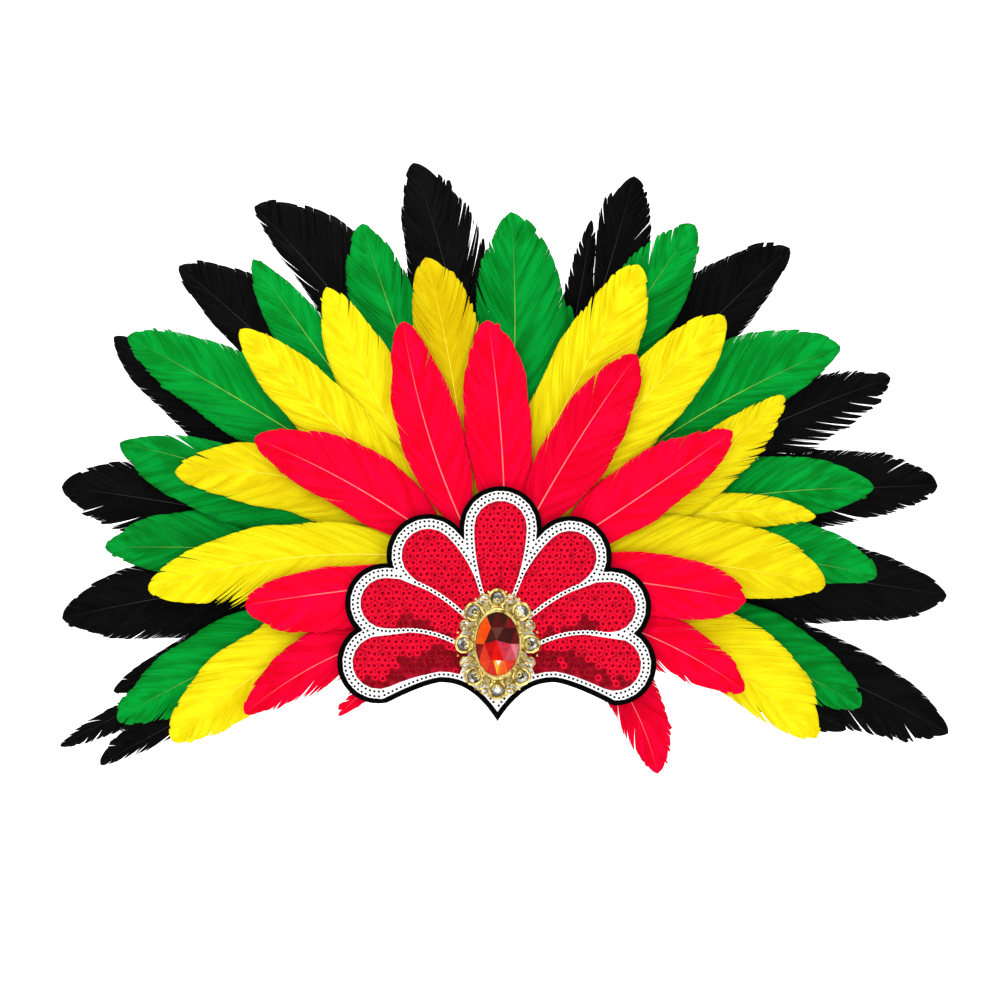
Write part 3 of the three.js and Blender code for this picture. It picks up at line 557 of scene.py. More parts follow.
def linked(tree, kind, sources=None, **settings):
    """A node with its settings and its inputs, each a value or the socket that feeds it."""
    node = tree.nodes.new(kind)
    for key, value in settings.items():
        setattr(node, key, value)
    for key, value in (sources or {}).items():
        feed(tree, node.inputs[key], value)
    return node


def attribute(tree, name, output="Fac"):
    return linked(tree, "ShaderNodeAttribute", attribute_name=name).outputs[output]


def maths(tree, operation, *values):
    return linked(tree, "ShaderNodeMath", dict(enumerate(values)), operation=operation).outputs[0]


def ramp(tree, value, low, high):
    node = linked(tree, "ShaderNodeMapRange", {"Value": value, "From Min": low, "From Max": high})
    node.interpolation_type = "SMOOTHSTEP"
    return node.outputs["Result"]


def mixed(tree, share, first, second):
    node = tree.nodes.new("ShaderNodeMix")
    node.data_type = "RGBA"
    for socket, value in ((node.inputs[0], share), (node.inputs[6], first), (node.inputs[7], second)):
        feed(tree, socket, (*value, 1) if isinstance(value, tuple) else value)
    return node.outputs[2]


def blend_of(tree, first, share, second, other):
    """The sum of two values, each times its share."""
    return maths(tree, "ADD", maths(tree, "MULTIPLY", first, share), maths(tree, "MULTIPLY", second, other))


def spread(tree, value, low, high):
    node = linked(tree, "ShaderNodeMapRange", {"Value": value, "To Min": low, "To Max": high})
    return node.outputs["Result"]


def barb_grain_group():
    """Streaks and fine lines that run along the barbs, from the feather's own map."""
    group, source, out = new_group(
        "barb_grain",
        [("Map", "NodeSocketVector", (0, 0, 0)), ("Tone", "NodeSocketFloat", 0.0)],
        [("Fine", "NodeSocketFloat"), ("Streak", "NodeSocketFloat"), ("Height", "NodeSocketFloat")],
    )
    parts = linked(group, "ShaderNodeSeparateXYZ", {0: source.outputs["Map"]})

    def stretched(along_scale, across_scale, detail):
        along = maths(group, "MULTIPLY", parts.outputs[0], along_scale)
        across = maths(group, "MULTIPLY", parts.outputs[1], across_scale)
        apart = maths(group, "MULTIPLY", source.outputs["Tone"], 7.0)
        place = linked(group, "ShaderNodeCombineXYZ", {0: along, 1: across, 2: apart}).outputs[0]
        noise = linked(group, "ShaderNodeTexNoise", {"Vector": place, "Scale": 1.0, "Detail": detail})
        return noise.outputs["Fac"]

    fine = ramp(group, stretched(1.7, 1.6, 2.0), 0.3, 0.7)
    streak = ramp(group, stretched(0.16, 1.3, 3.0), 0.32, 0.68)
    group.links.new(fine, out.inputs["Fine"])
    group.links.new(streak, out.inputs["Streak"])
    group.links.new(blend_of(group, fine, 0.6, streak, 0.4), out.inputs["Height"])
    return group


def cloth_grain_group():
    """Fibres of felt, cloth or thread, from the object's own coordinates."""
    group, source, out = new_group(
        "cloth_grain", [("Scale", "NodeSocketFloat", 900.0)], [("Fibre", "NodeSocketFloat")]
    )
    place = group.nodes.new("ShaderNodeTexCoord").outputs["Object"]
    noise = {"Vector": place, "Scale": source.outputs["Scale"], "Detail": 4.0, "Roughness": 0.7}
    fibre = linked(group, "ShaderNodeTexNoise", noise)
    group.links.new(fibre.outputs["Fac"], out.inputs["Fibre"])
    return group


def wear_and_reflection_group():
    """Handling marks and small scratches on hard, glossy pieces; on the gold the same marks paint dark
    reflections as well as patina.
    """
    group, source, out = new_group(
        "wear_and_reflection_marks",
        [("Scale", "NodeSocketFloat", 500.0)],
        [("Marks", "NodeSocketFloat"), ("Height", "NodeSocketFloat")],
    )
    place = group.nodes.new("ShaderNodeTexCoord").outputs["Object"]
    noise = {"Vector": place, "Scale": source.outputs["Scale"], "Detail": 5.0}
    cloudy = linked(group, "ShaderNodeTexNoise", noise)
    marks = ramp(group, cloudy.outputs["Fac"], 0.4, 0.68)
    group.links.new(marks, out.inputs["Marks"])
    group.links.new(cloudy.outputs["Fac"], out.inputs["Height"])
    return group


def new_material(name):
    material = bpy.data.materials.new(name)
    material.use_nodes = True
    tree = material.node_tree
    return material, tree, tree.nodes["Principled BSDF"]


def bump(tree, shader, height, strength, distance):
    node = linked(tree, "ShaderNodeBump", {"Height": height, "Strength": strength, "Distance": distance})
    tree.links.new(node.outputs["Normal"], shader.inputs["Normal"])


def placed_group(tree, group, **values):
    node = tree.nodes.new("ShaderNodeGroup")
    node.node_tree = group
    for key, value in values.items():
        feed(tree, node.inputs[key], value)
    return node


def settings(shader, **values):
    """Sets constants on the shader's own sockets, named in lower case with underscores."""
    names = {"specular_ior_level": "Specular IOR Level"}
    for key, value in values.items():
        shader.inputs[names.get(key, key.replace("_", " ").title())].default_value = value


def vane_material(colour, grain):
    deep, mid, bright, gloss, roughness, shine = VANE_DYES[colour]
    material, tree, shader = new_material(f"{colour}_dyed_vane")
    feather_map = linked(tree, "ShaderNodeUVMap", uv_map="barbs").outputs["UV"]
    tone = attribute(tree, "tone")
    marks = placed_group(tree, grain, Map=feather_map, Tone=tone)
    fine, streak = marks.outputs["Fine"], marks.outputs["Streak"]
    dye = mixed(tree, blend_of(tree, fine, 0.35, streak, 0.65), mid, bright)
    dull = maths(tree, "SUBTRACT", 1.0, streak)
    # Painted shade: the vane is mixed towards its deep colour near its root; darker streaks and the
    # feather's tone add to it
    root_shade_grain_and_tone = blend_of(tree, attribute(tree, "rootward"), 0.55, dull, 0.22)
    root_shade_grain_and_tone = maths(tree, "ADD", root_shade_grain_and_tone, maths(tree, "MULTIPLY", tone, 0.16))
    root_shade_grain_and_tone = linked(tree, "ShaderNodeClamp", {"Value": root_shade_grain_and_tone}).outputs[0]
    tree.links.new(mixed(tree, root_shade_grain_and_tone, dye, deep), shader.inputs["Base Color"])
    tree.links.new(spread(tree, fine, roughness - 0.08, roughness + 0.1), shader.inputs["Roughness"])
    settings(shader, specular_ior_level=shine, specular_tint=(*gloss, 1))
    bump(tree, shader, marks.outputs["Height"], 0.5, 0.0005)
    return material


def shaft_material(colour, marks_of_wear_and_reflection):
    """A quill that is pale near its root and takes the vane's colour towards the tip."""
    pale, tip = SHAFT_DYES[colour]
    material, tree, shader = new_material(f"{colour}_shaft")
    marks = placed_group(tree, marks_of_wear_and_reflection, Scale=180.0)
    rubbed = maths(tree, "SUBTRACT", 1.0, maths(tree, "MULTIPLY", marks.outputs["Marks"], 0.3))
    share = maths(tree, "MULTIPLY", ramp(tree, attribute(tree, "rootward"), 0.0, 0.4), rubbed)
    tree.links.new(mixed(tree, share, tip, pale), shader.inputs["Base Color"])
    settings(shader, roughness=0.4, specular_ior_level=0.2)
    bump(tree, shader, marks.outputs["Height"], 0.2, 0.0002)
    return material


def fabric_material(name, grain):
    ground, fleck, scale, roughness, shine = FABRICS[name]
    material, tree, shader = new_material(name)
    fibre = placed_group(tree, grain, Scale=scale).outputs["Fibre"]
    tree.links.new(mixed(tree, ramp(tree, fibre, 0.35, 0.7), ground, fleck), shader.inputs["Base Color"])
    settings(shader, roughness=roughness, specular_ior_level=shine)
    bump(tree, shader, fibre, 0.5, 0.0004)
    return material


def sequin_material(name, marks_of_wear_and_reflection):
    """Foil discs: each has its own tone, kept in an attribute of its points; on the red discs the tone also
    carries painted shade.
    """
    dark, bright, roughness, shine = FOILS[name]
    material, tree, shader = new_material(name)
    marks = placed_group(tree, marks_of_wear_and_reflection, Scale=260.0)
    rubbed = maths(tree, "MULTIPLY", marks.outputs["Marks"], 0.12)
    share = maths(tree, "SUBTRACT", attribute(tree, "tone"), rubbed)
    share = linked(tree, "ShaderNodeClamp", {"Value": share}).outputs[0]
    tree.links.new(mixed(tree, share, dark, bright), shader.inputs["Base Color"])
    settings(shader, roughness=roughness, specular_ior_level=shine)
    bump(tree, shader, marks.outputs["Height"], 0.12, 0.0003)
    return material


def gold_material(marks_of_wear_and_reflection):
    material, tree, shader = new_material("pale_gold_cast")
    marks = placed_group(tree, marks_of_wear_and_reflection, Scale=420.0)
    patina_and_dark_reflection = marks.outputs["Marks"]
    # Painted dark reflections, with patina: noisy patches turn the gold darker and rougher
    tree.links.new(mixed(tree, patina_and_dark_reflection, *GOLD), shader.inputs["Base Color"])
    tree.links.new(spread(tree, patina_and_dark_reflection, GOLD_ROUGHNESS, GOLD_ROUGHNESS + 0.2), shader.inputs["Roughness"])
    settings(shader, metallic=1.0)
    bump(tree, shader, marks.outputs["Height"], 0.25, 0.0003)
    return material


def crystal_material(marks_of_wear_and_reflection):
    """Small grey stones with painted reflections: each facet dark or bright by its own tone."""
    material, tree, shader = new_material("grey_crystal")
    marks = placed_group(tree, marks_of_wear_and_reflection, Scale=900.0)
    dust = maths(tree, "MULTIPLY", marks.outputs["Marks"], 0.3)
    facet = mixed(tree, attribute(tree, "tone"), *CRYSTAL_REFLECTIONS)
    tree.links.new(mixed(tree, dust, facet, CRYSTAL_DUST), shader.inputs["Base Color"])
    settings(shader, roughness=0.06, coat_weight=0.15)
    return material


def painted_facet_stone_material(marks_of_wear_and_reflection):
    """A clear cast stone over foil, whose facets carry painted reflections and highlights: each facet has
    its own colour, kept in an attribute.
    """
    material, tree, shader = new_material("red_stone_painted_facets")
    marks = placed_group(tree, marks_of_wear_and_reflection, Scale=300.0)
    dust = maths(tree, "MULTIPLY", marks.outputs["Marks"], 0.25)
    colour = mixed(tree, dust, attribute(tree, "foil", "Color"), STONE_DUST)
    tree.links.new(colour, shader.inputs["Base Color"])
    settings(shader, roughness=0.04, specular_ior_level=0.12, coat_weight=0.04, coat_roughness=0.02)
    return material


def elastic_material():
    """Woven elastic: fine ribs along the strap crossed by the wefts."""
    material, tree, shader = new_material("black_woven_elastic")
    weave = linked(tree, "ShaderNodeUVMap", uv_map="weave").outputs["UV"]
    parts = linked(tree, "ShaderNodeSeparateXYZ", {0: weave})
    ribs = maths(tree, "SINE", maths(tree, "MULTIPLY", parts.outputs[1], 4.2))
    wefts = maths(tree, "SINE", maths(tree, "MULTIPLY", parts.outputs[0], 7.5))
    height = maths(tree, "ADD", ribs, maths(tree, "MULTIPLY", wefts, 0.45))
    tree.links.new(mixed(tree, ramp(tree, height, -0.9, 1.2), *ELASTIC), shader.inputs["Base Color"])
    settings(shader, roughness=0.8)
    bump(tree, shader, height, 0.5, 0.0004)
    return material


# Feathers


def vane_share(along, full):
    rise = min(max((along - QUILL_BARE) / (VANE_WIDEST - QUILL_BARE), 0), 1)
    fall = min(max((along - VANE_WIDEST) / (1 - VANE_WIDEST), 0), 1)
    return math.sin(rise * math.pi / 2) ** 0.6 * (1 - fall**full) ** 0.6


def fan_depth(place, tier):
    past = place.length - GRIP_RADIUS
    beyond = (past + math.hypot(past, GRIP_EASE)) / 2
    step = TIER_STEP * (1 + SPLAY * beyond)
    return bow_at(place.x) + beyond * beyond / (2 * SWEEP_RADIUS) + tier * step, step


def in_fan(place, depth):
    return Vector((place.x, FAN_FRONT + depth, FAN_LIFT + place.y)) * MM


class Feather:
    def __init__(self, colour, number, row):
        order, reach, width, root = RINGS[colour]
        angle, share, swing, bend, wide, self.lean, tier, self.full, self.nick = row
        self.name = f"{colour}_feather_{number:02d}"
        self.shaft = BowedLine(polar(angle + swing, root), polar(angle, reach * share), bend)
        self.length = self.shaft.length()
        self.count = int(self.length / BARB_PITCH)
        self.half = width * wide / 2
        self.tier = order * TIERS + tier
        self.rng = random.Random(self.name)
        self.tone = SHADES.get(self.name, self.rng.uniform(-1, 1))
        self.waves = [(self.rng.uniform(2, 5), self.rng.uniform(0, 6.28)) for _ in range(4)]
        self.points = []
        self.faces = []
        self.map = []
        self.rootward = []

    def edge_share(self, along):
        least = min(QUILL_WIDTH / 2, self.half * TIP_WIDTH)
        closing = min(1, (1 - along) / TIP_CLOSES) ** 0.5
        return max(self.half * vane_share(along, self.full), least * closing)

    def barb(self, along, side):
        """The start, the middle and the end of the barb that ends at this share of the length."""
        width = self.edge_share(along)
        heading = self.shaft.heading_at(along)
        out = left_of(heading) * side
        start = self.shaft.point_at(max(along - BARB_RUN * width / self.length, QUILL_BARE * 0.5))
        end = self.shaft.point_at(along) + out * width * (1 + side * self.lean) * self.outline(along, side)
        middle = start.lerp(end, 0.5) + out * width * BARB_BOW
        return start, middle, end, heading

    def outline(self, along, side):
        """The uneven outline of a real vane, as a share of its even width."""
        share = 1.0
        for turns, phase in self.waves[:2] if side > 0 else self.waves[2:]:
            share += EDGE_WAVE * math.sin(turns * 6.28 * along + phase)
        for where, low, high, amount in NARROWED.get(self.name, ()):
            if where == side and low < along < high:
                share -= amount * math.sin(math.pi * (along - low) / (high - low)) ** 0.5
        return share

    def raggedness(self, along, side):
        most = 0.0
        for where, low, high, amount in RAGGED.get(self.name, ()):
            if where == side and low <= along <= high:
                most = max(most, amount)
        return most

    def along_of(self, i):
        """The share of the length where the barb line of this number ends."""
        return FIRST_BARB + (1 - FIRST_BARB) * i / self.count

    def splits(self, side):
        """Barb lines where the vane parts: number -> (share of the barb where it starts, gap)."""
        rng = self.rng
        found = {}
        i = rng.randint(1, 3)
        while i < self.count - 1:
            ragged = self.raggedness(self.along_of(i), side)
            deep = rng.random()
            start = rng.uniform(*SPLIT_START)
            gap = rng.uniform(*SPLIT_GAP)
            if deep < TEAR_CHANCE[0] + TEAR_CHANCE[1] * ragged:
                torn = min(ragged, 1)
                start = rng.uniform(TEAR_START[0] - 0.3 * torn, TEAR_START[1] - 0.15 * torn)
                gap = rng.uniform(*TEAR_GAP) * (1 + 0.8 * torn)
            found[i] = (start, gap)
            i += rng.choice(CLUMPS if ragged < 0.3 else RAGGED_CLUMPS)
        return found

    def build_vane(self, side):
        splits = self.splits(side)
        notch = None
        if self.nick * side > 0:
            notch = round((abs(self.nick) - FIRST_BARB) / (1 - FIRST_BARB) * self.count)
            splits[notch] = (1 - NICK_DEPTH * 1.35, 0.1)
        bounds = [0] + sorted(splits) + [self.count]
        barbs = [self.barb(self.along_of(i), side) for i in range(self.count + 1)]
        for low, high in zip(bounds, bounds[1:]):
            self.build_clump(side, low, high, barbs, splits, notch)

    def build_clump(self, side, low, high, barbs, splits, notch):
        """The barbs between two splits, which hold together: longer, swayed and lifted as one."""
        rng = self.rng
        halfway = self.along_of((low + high) / 2)
        ragged = self.raggedness(halfway, side)
        near_tip = max(0, halfway - TIP_STARTS) / (1 - TIP_STARTS)
        longer = rng.uniform(-0.02, 0.015) - rng.random() ** 3 * 0.1 * ragged
        longer += rng.uniform(-0.16, 0.06) * near_tip
        tuft = rng.random() ** 2 * TUFT * ragged
        sway = rng.uniform(-1, 1) * (0.3 + 1.6 * min(ragged, 1))
        lift = rng.uniform(-0.5, 0.5)
        base = len(self.points)
        for i in range(low, high + 1):
            start, middle, end, heading = barbs[i]
            lie = (end - middle).normalized()
            tipward = heading - lie * heading.dot(lie)
            tipward = tipward.normalized() if tipward.length > 0.05 else heading
            along = self.along_of(i)
            inside = min(i - low, high - i) / max(high - low, 1)
            for j in range(BARB_POINTS + 1):
                v = j / BARB_POINTS
                v += v**4 * (longer + (0.02 + tuft) * inside)
                place = start * (1 - v) ** 2 + middle * 2 * v * (1 - v) + end * v * v
                place = place + tipward * self.parted(i, v, low, high, splits, sway, notch)
                depth, step = fan_depth(place, self.tier)
                room = step - TIER_STEP
                arch = CAMBER * v * v * room - BARB_CUP * room * math.sin(min(v, 1) * math.pi)
                depth += QUILL_THICKNESS / 2 + arch + lift * 0.18 * min(room, 1.2) * v * v
                self.points.append(in_fan(place, depth))
                self.map.append((along * self.length, side * v))
                # rootward holds the painted shade towards the root
                self.rootward.append(max(0.0, 1 - along / SHADED_ROOT) ** 1.5)
        across = BARB_POINTS + 1
        for i in range(high - low):
            for j in range(BARB_POINTS):
                a = base + i * across + j
                corners = (a, a + 1, a + 1 + across, a + across)
                self.faces.append(corners if side > 0 else corners[::-1])

    def parted(self, i, v, low, high, splits, sway, notch):
        """How far a point on a barb is drawn towards the tip by the splits and the nick beside it."""
        shift = 0.0
        for bound, way in ((low, 1), (high, -1)):
            if bound not in splits:
                continue
            opens, gap = splits[bound]
            if v > opens:
                fade = 1 - abs(i - bound) / max(high - low, 1)
                shift += way * gap * fade * (v - opens) / (1 - opens)
        if low in splits and high in splits:
            swayed = max(v - SWAY_STARTS, 0) / (1 - SWAY_STARTS)
            shift += sway * swayed * swayed * min(splits[low][1], splits[high][1])
        if notch is not None:
            gap = NICK_LENGTH * self.length * NICK_OPENS
            opens = splits[notch][0]
            way = 1 if low >= notch else -1
            far = abs(i - notch) * BARB_PITCH / (6 * gap)
            if v > opens and far < 1:
                shift += way * gap * (1 - far) ** 1.4 * ((v - opens) / (1 - opens)) ** 1.2
        return shift

    def build_shaft(self):
        faces = []
        for i in range(SHAFT_STEPS + 1):
            along = SHAFT_ENDS * i / SHAFT_STEPS
            place = self.shaft.point_at(along)
            out = left_of(self.shaft.heading_at(along))
            wide = SHAFT_HALF_WIDTH * (1 - along) ** 0.8 + SHAFT_LEAST
            if along < QUILL_BARE:
                wide = QUILL_WIDTH / 2
            thick = (QUILL_THICKNESS / 2) * (1 - along) ** 0.6 * 0.98 + 0.1
            for k in range(SHAFT_SIDES):
                turn = 2 * math.pi * k / SHAFT_SIDES
                there = place + out * math.cos(turn) * wide
                depth = fan_depth(place, self.tier)[0] + QUILL_THICKNESS / 2 - 0.04 + math.sin(turn) * thick
                self.points.append(in_fan(there, depth))
                self.map.append((along * self.length, 0))
                self.rootward.append(1 - along)
        for i in range(SHAFT_STEPS):
            for k in range(SHAFT_SIDES):
                a = i * SHAFT_SIDES + k
                b = i * SHAFT_SIDES + (k + 1) % SHAFT_SIDES
                faces.append((a, a + SHAFT_SIDES, b + SHAFT_SIDES, b))
        last = SHAFT_STEPS * SHAFT_SIDES
        faces.append(tuple(range(SHAFT_SIDES)))
        faces.append(tuple(last + k for k in reversed(range(SHAFT_SIDES))))
        return faces

    def piece(self, vane, shaft):
        self.build_vane(1)
        self.build_vane(-1)
        sheet = self.mesh("vane", self.faces, vane)
        in_edit(sheet)
        bpy.ops.mesh.remove_doubles(threshold=0.00001)
        leave_edit()
        thickened(sheet, VANE_SHEET)
        self.points, self.map, self.rootward = [], [], []
        quill = self.mesh("shaft", self.build_shaft(), shaft)
        face_outwards(quill)
        whole = joined(self.name + "_barbs", [sheet, quill])
        round_all(whole)
        return whole

    def mesh(self, part, faces, material):
        obj = sheet_from(f"{self.name}_{part}", self.points, faces, material)
        data = obj.data
        layer = data.uv_layers.new(name="barbs")
        for loop in data.loops:
            layer.data[loop.index].uv = self.map[loop.vertex_index]
        tone = data.attributes.new("tone", "FLOAT", "POINT")
        rootward = data.attributes.new("rootward", "FLOAT", "POINT")
        for i in range(len(data.vertices)):
            tone.data[i].value = self.tone
            rootward.data[i].value = self.rootward[i]
        return obj


# The sequinned plate


def petal_line(petal):
    angle, neck, reach, radius, waist, start, bow = petal
    return BowedLine(polar(neck, PETAL_START * start), polar(angle, PETAL_REACH * reach), bow)


PETAL_LINES = [petal_line(petal) for petal in PETALS]


def petal_radius(index, share):
    """Half a petal's width at a share of its middle line."""
    _, _, _, radius, waist, _, _ = PETALS[index]
    small, large = PETAL_NECK * waist, PETAL_RADIUS * radius
    return small + (large - small) * math.sin(share * math.pi / 2)


def petal_circles(index, steps=36):
    shares = [i / steps for i in range(steps + 1)]
    return [(PETAL_LINES[index].point(share), petal_radius(index, share), share) for share in shares]


PETAL_CIRCLES = [petal_circles(i) for i in range(len(PETALS))]


def from_petal(index, place):
    """How far a point lies outside one petal, and at which share of its middle line."""
    return min(((place - centre).length - radius, share) for centre, radius, share in PETAL_CIRCLES[index])


def from_petals(place):
    return min(from_petal(i, place)[0] for i in range(len(PETALS)))


def petal_edge(index, grow, steps=140):
    """One petal's outline, widened by grow: up its right side, round its end and down its left."""
    line = PETAL_LINES[index]
    right, left = [], []
    for i in range(steps + 1):
        share = i / steps
        out = left_of(line.heading(share)) * (petal_radius(index, share) + grow)
        right.append(line.point(share) - out)
        left.insert(0, line.point(share) + out)
    heading = line.heading(1)
    facing = math.degrees(math.atan2(heading.y, heading.x))
    reach = petal_radius(index, 1) + grow
    cap = [line.end + polar(facing - 90 + 180 * i / steps, reach) for i in range(1, steps)]
    return right + cap + left


def brow_line(side, raised, steps=30):
    """The arch over one brow, raised, from the brow point to past its outer end."""
    line = []
    for i in range(steps + 1):
        share = 1 - i / steps
        line.append(Vector((BROW_CENTRE * (1 - share), BROW_RISE * (1 - share**BROW_POINTED) - BROW_POINT)))
    top = line[-1]
    for i in range(1, steps + 1):
        share = i / steps
        line.append(Vector((top.x + BROW_OUTER * share, top.y - BROW_FALL * share**BROW_FLARE)))
    lifted = []
    for i, place in enumerate(line):
        along = (line[min(i + 1, len(line) - 1)] - line[max(i - 1, 0)]).normalized()
        lifted.append(place + left_of(along) * raised)
    for i in range(1, steps + 1):
        lifted.append(lifted[2 * steps] + Vector((BROW_OUTER, -BROW_FALL)) * (i / steps))
    return [Vector((place.x * side, place.y)) for place in lifted if place.x >= 0]


BROW = brow_line(1, 0)


def above_brow(place):
    """How far a point lies above the arch over the nearer brow; negative below it."""
    here = Vector((abs(place.x), place.y))
    nearest = math.inf
    height = 0.0
    for a, b in zip(BROW, BROW[1:]):
        along = b - a
        share = min(max((here - a).dot(along) / along.length_squared, 0), 1)
        gap = here - a.lerp(b, share)
        if gap.length < nearest:
            nearest = gap.length
            height = math.copysign(nearest, gap.dot(left_of(along)))
    return height


def in_middle(place):
    return abs(place.x) < BROW_CENTRE and -BROW_POINT - 0.01 < place.y < PETAL_START


def lobed_edge(grow, brow):
    """The lobes' outer outline from the left brow's end over the top to the right brow's end."""
    edge = []
    for index in range(len(PETALS)):
        others = [i for i in range(len(PETALS)) if i != index]
        for place in petal_edge(index, grow):
            if in_middle(place) or any(from_petal(i, place)[0] < grow - 0.03 for i in others):
                continue
            if above_brow(place) > brow:
                edge.append(place)
    return edge


def brow_edge(side, grow, brow):
    return [place for place in brow_line(side, brow) if in_middle(place) or from_petals(place) < grow]


def on_plate(place, depth):
    return Vector((place.x, depth + bow_at(place.x), place.y - PLATE_DROP)) * MM


def felt_plate(material):
    """The black felt that carries the cloth: its outline filled, cut into strips and bowed."""
    grow = TRIM_WIDTH + FELT_EDGE
    outline = lobed_edge(grow, 0) + brow_edge(-1, grow, 0)[::-1] + brow_edge(1, grow, 0)[1:]
    flat = [Vector((p.x, 0, p.y)) * MM for p in outline]
    felt = sheet_from("forehead_felt", flat, [tuple(range(len(outline)))], material)
    in_edit(felt)
    bpy.ops.mesh.remove_doubles(threshold=0.0001)
    bpy.ops.mesh.select_all(action="SELECT")
    bpy.ops.mesh.quads_convert_to_tris(ngon_method="BEAUTY")
    for i in range(-FELT_STRIPS, FELT_STRIPS + 1):
        bpy.ops.mesh.select_all(action="SELECT")
        bpy.ops.mesh.bisect(plane_co=(i * FELT_STRIP * MM, 0, 0), plane_no=(1, 0, 0))
    bpy.ops.mesh.select_all(action="SELECT")
    bpy.ops.mesh.normals_make_consistent(inside=False)
    leave_edit()
    for vertex in felt.data.vertices:
        x, _, z = vertex.co / MM
        vertex.co = on_plate(Vector((x, z)), FELT_BACK)
    toward_face = felt.data.polygons[0].normal.y < 0
    thickened(felt, FELT_THICKNESS, 1.0 if toward_face else -1.0)
    soft_edge(felt, "Soft edge", 0.5, 2)
    smooth(felt)
    return felt


def one_sequin(name, radius, hole, cup, material):
    """A cupped disc with a hole, lying flat in X and Z and facing -Y, at the origin."""
    crease = hole + (radius - hole) * 0.35
    clean_selection()
    bpy.ops.mesh.primitive_circle_add(vertices=12, radius=radius * MM, rotation=(math.pi / 2, 0, 0))
    disc = added(name, material)
    in_edit(disc)
    for share, rise in ((crease / radius, -cup), (hole / crease, cup * 0.8)):
        bpy.ops.mesh.extrude_region_move(TRANSFORM_OT_translate={"value": (0, rise * MM, 0)})
        bpy.ops.transform.resize(value=(share, 1, share), center_override=(0, 0, 0))
    bpy.ops.mesh.select_all(action="SELECT")
    bpy.ops.mesh.normals_make_consistent(inside=False)
    leave_edit()
    thickened(disc, 0.1)
    return disc


def one_stitch(name, radius, material):
    clean_selection()
    bpy.ops.mesh.primitive_uv_sphere_add(
        segments=8, ring_count=4, radius=radius * MM, rotation=(math.pi / 2, 0, 0)
    )
    dome = added(name, material)
    in_edit(dome)
    bpy.ops.transform.resize(value=(1, 0.45, 1), center_override=(0, 0, 0))
    leave_edit()
    return dome


def sewn_on(name, pattern, places):
    """Copies of a pattern piece at (place, depth, tilt, tone), as one mesh. The pattern goes."""
    whole = bmesh.new()
    tone = whole.verts.layers.float.new("tone")
    for place, depth, tilt, value in places:
        before = len(whole.verts)
        whole.from_mesh(pattern.data)
        whole.verts.ensure_lookup_table()
        fresh = whole.verts[before:]
        turn = Matrix.Rotation(bow_lean(place.x), 4, "Z") @ tilt
        move = Matrix.Translation(on_plate(place, depth)) @ turn
        bmesh.ops.transform(whole, matrix=move, verts=fresh)
        for vert in fresh:
            vert[tone] = value
    mesh = bpy.data.meshes.new(name)
    whole.to_mesh(mesh)
    whole.free()
    mesh.materials.append(pattern.data.materials[0])
    obj = in_scene(bpy.data.objects.new(name, mesh))
    bpy.data.objects.remove(pattern)
    round_all(obj)
    return obj


def under_brooch(place, room=0.0):
    return math.hypot(place.x / (SETTING_HALF_WIDTH + room), place.y / (SETTING_HALF_HEIGHT + room)) < 1


def small_tilt(rng, most):
    nod = Matrix.Rotation(math.radians(rng.uniform(-most, most)), 4, "X")
    return nod @ Matrix.Rotation(math.radians(rng.uniform(-most, most)), 4, "Z")


def painted_shade_share(index, share, below):
    """Whether a red sequin in this petal takes painted shade, by its place across the petal."""
    if index in SHADED_PETALS:
        return 1.0 if below < 0.35 - 0.95 * share**2 else 0.0
    if index in PETALS_SHADED_BELOW:
        return 1.0 if below < -0.36 and share < 0.84 else 0.0
    return 0.0


def red_sequin_places():
    """A staggered, slightly uneven field over the petals, each sequin lit or darkened by painted shade."""
    rng = random.Random("red sequins")
    places = []
    rise = RED_SPACING * ROW_RISE
    rows = int(2 * PETAL_REACH / rise) + 12
    for row in range(-rows // 2, rows // 2):
        for column in range(-30, 31):
            x = (column + (0.5 if row % 2 else 0)) * RED_SPACING + rng.uniform(-0.5, 0.5)
            z = row * rise + rng.uniform(-0.45, 0.45) + 12
            place = Vector((x, z))
            outside, share, index = min(from_petal(i, place) + (i,) for i in range(len(PETALS)))
            near_brow = above_brow(place) < BROW_EDGE + NARROW_TRIM + 0.8
            if outside > -RED_EDGE or near_brow or under_brooch(place, -4):
                continue
            middle = PETAL_LINES[index].point(share)
            below = (place - middle).y / (PETAL_RADIUS * 0.9) + rng.uniform(-0.12, 0.12)
            # Painted shade: the dark reflections of the sequins where the plate curves, with a few sequins
            # flipped
            dark = painted_shade_share(index, share, below)
            if rng.random() < SHADE_FLIPPED_SEQUINS:
                dark = 1 - dark if dark > 0 else 0.35
            tone = min(max(1 - SEQUIN_PAINTED_SHADE * dark + rng.uniform(-0.16, 0.08), 0), 1)
            places.append((place, CLOTH_BACK - CLOTH_THICKNESS - 0.28, small_tilt(rng, 7 + 8 * dark), tone))
    return places


def spaced(points, spacing):
    """Places at even spacing along a chain of points; the chain breaks where points lie far apart."""
    found = []
    left = 0.0
    for a, b in zip(points, points[1:]):
        span = (b - a).length
        if span > spacing * 1.5:
            left = 0.0
            continue
        while left <= span:
            found.append(a.lerp(b, left / span if span > 0 else 0))
            left += spacing
        left -= span
    return found


def divider_line(index):
    """The middle of the white band between one petal and the next."""
    first, second = PETAL_LINES[index], PETAL_LINES[index + 1]
    steps = 80
    line = []
    for i in range(steps + 1):
        a, b = first.point(i / steps), second.point(i / steps)
        low, high = 0.0, 1.0
        for _ in range(12):
            mid = (low + high) / 2
            place = a.lerp(b, mid)
            if from_petal(index, place)[0] < from_petal(index + 1, place)[0]:
                low = mid
            else:
                high = mid
        between = a.lerp(b, low)
        line.append(between if from_petal(index, between)[0] > DIVIDER / 2 else a.lerp(b, 0.5))
    return line


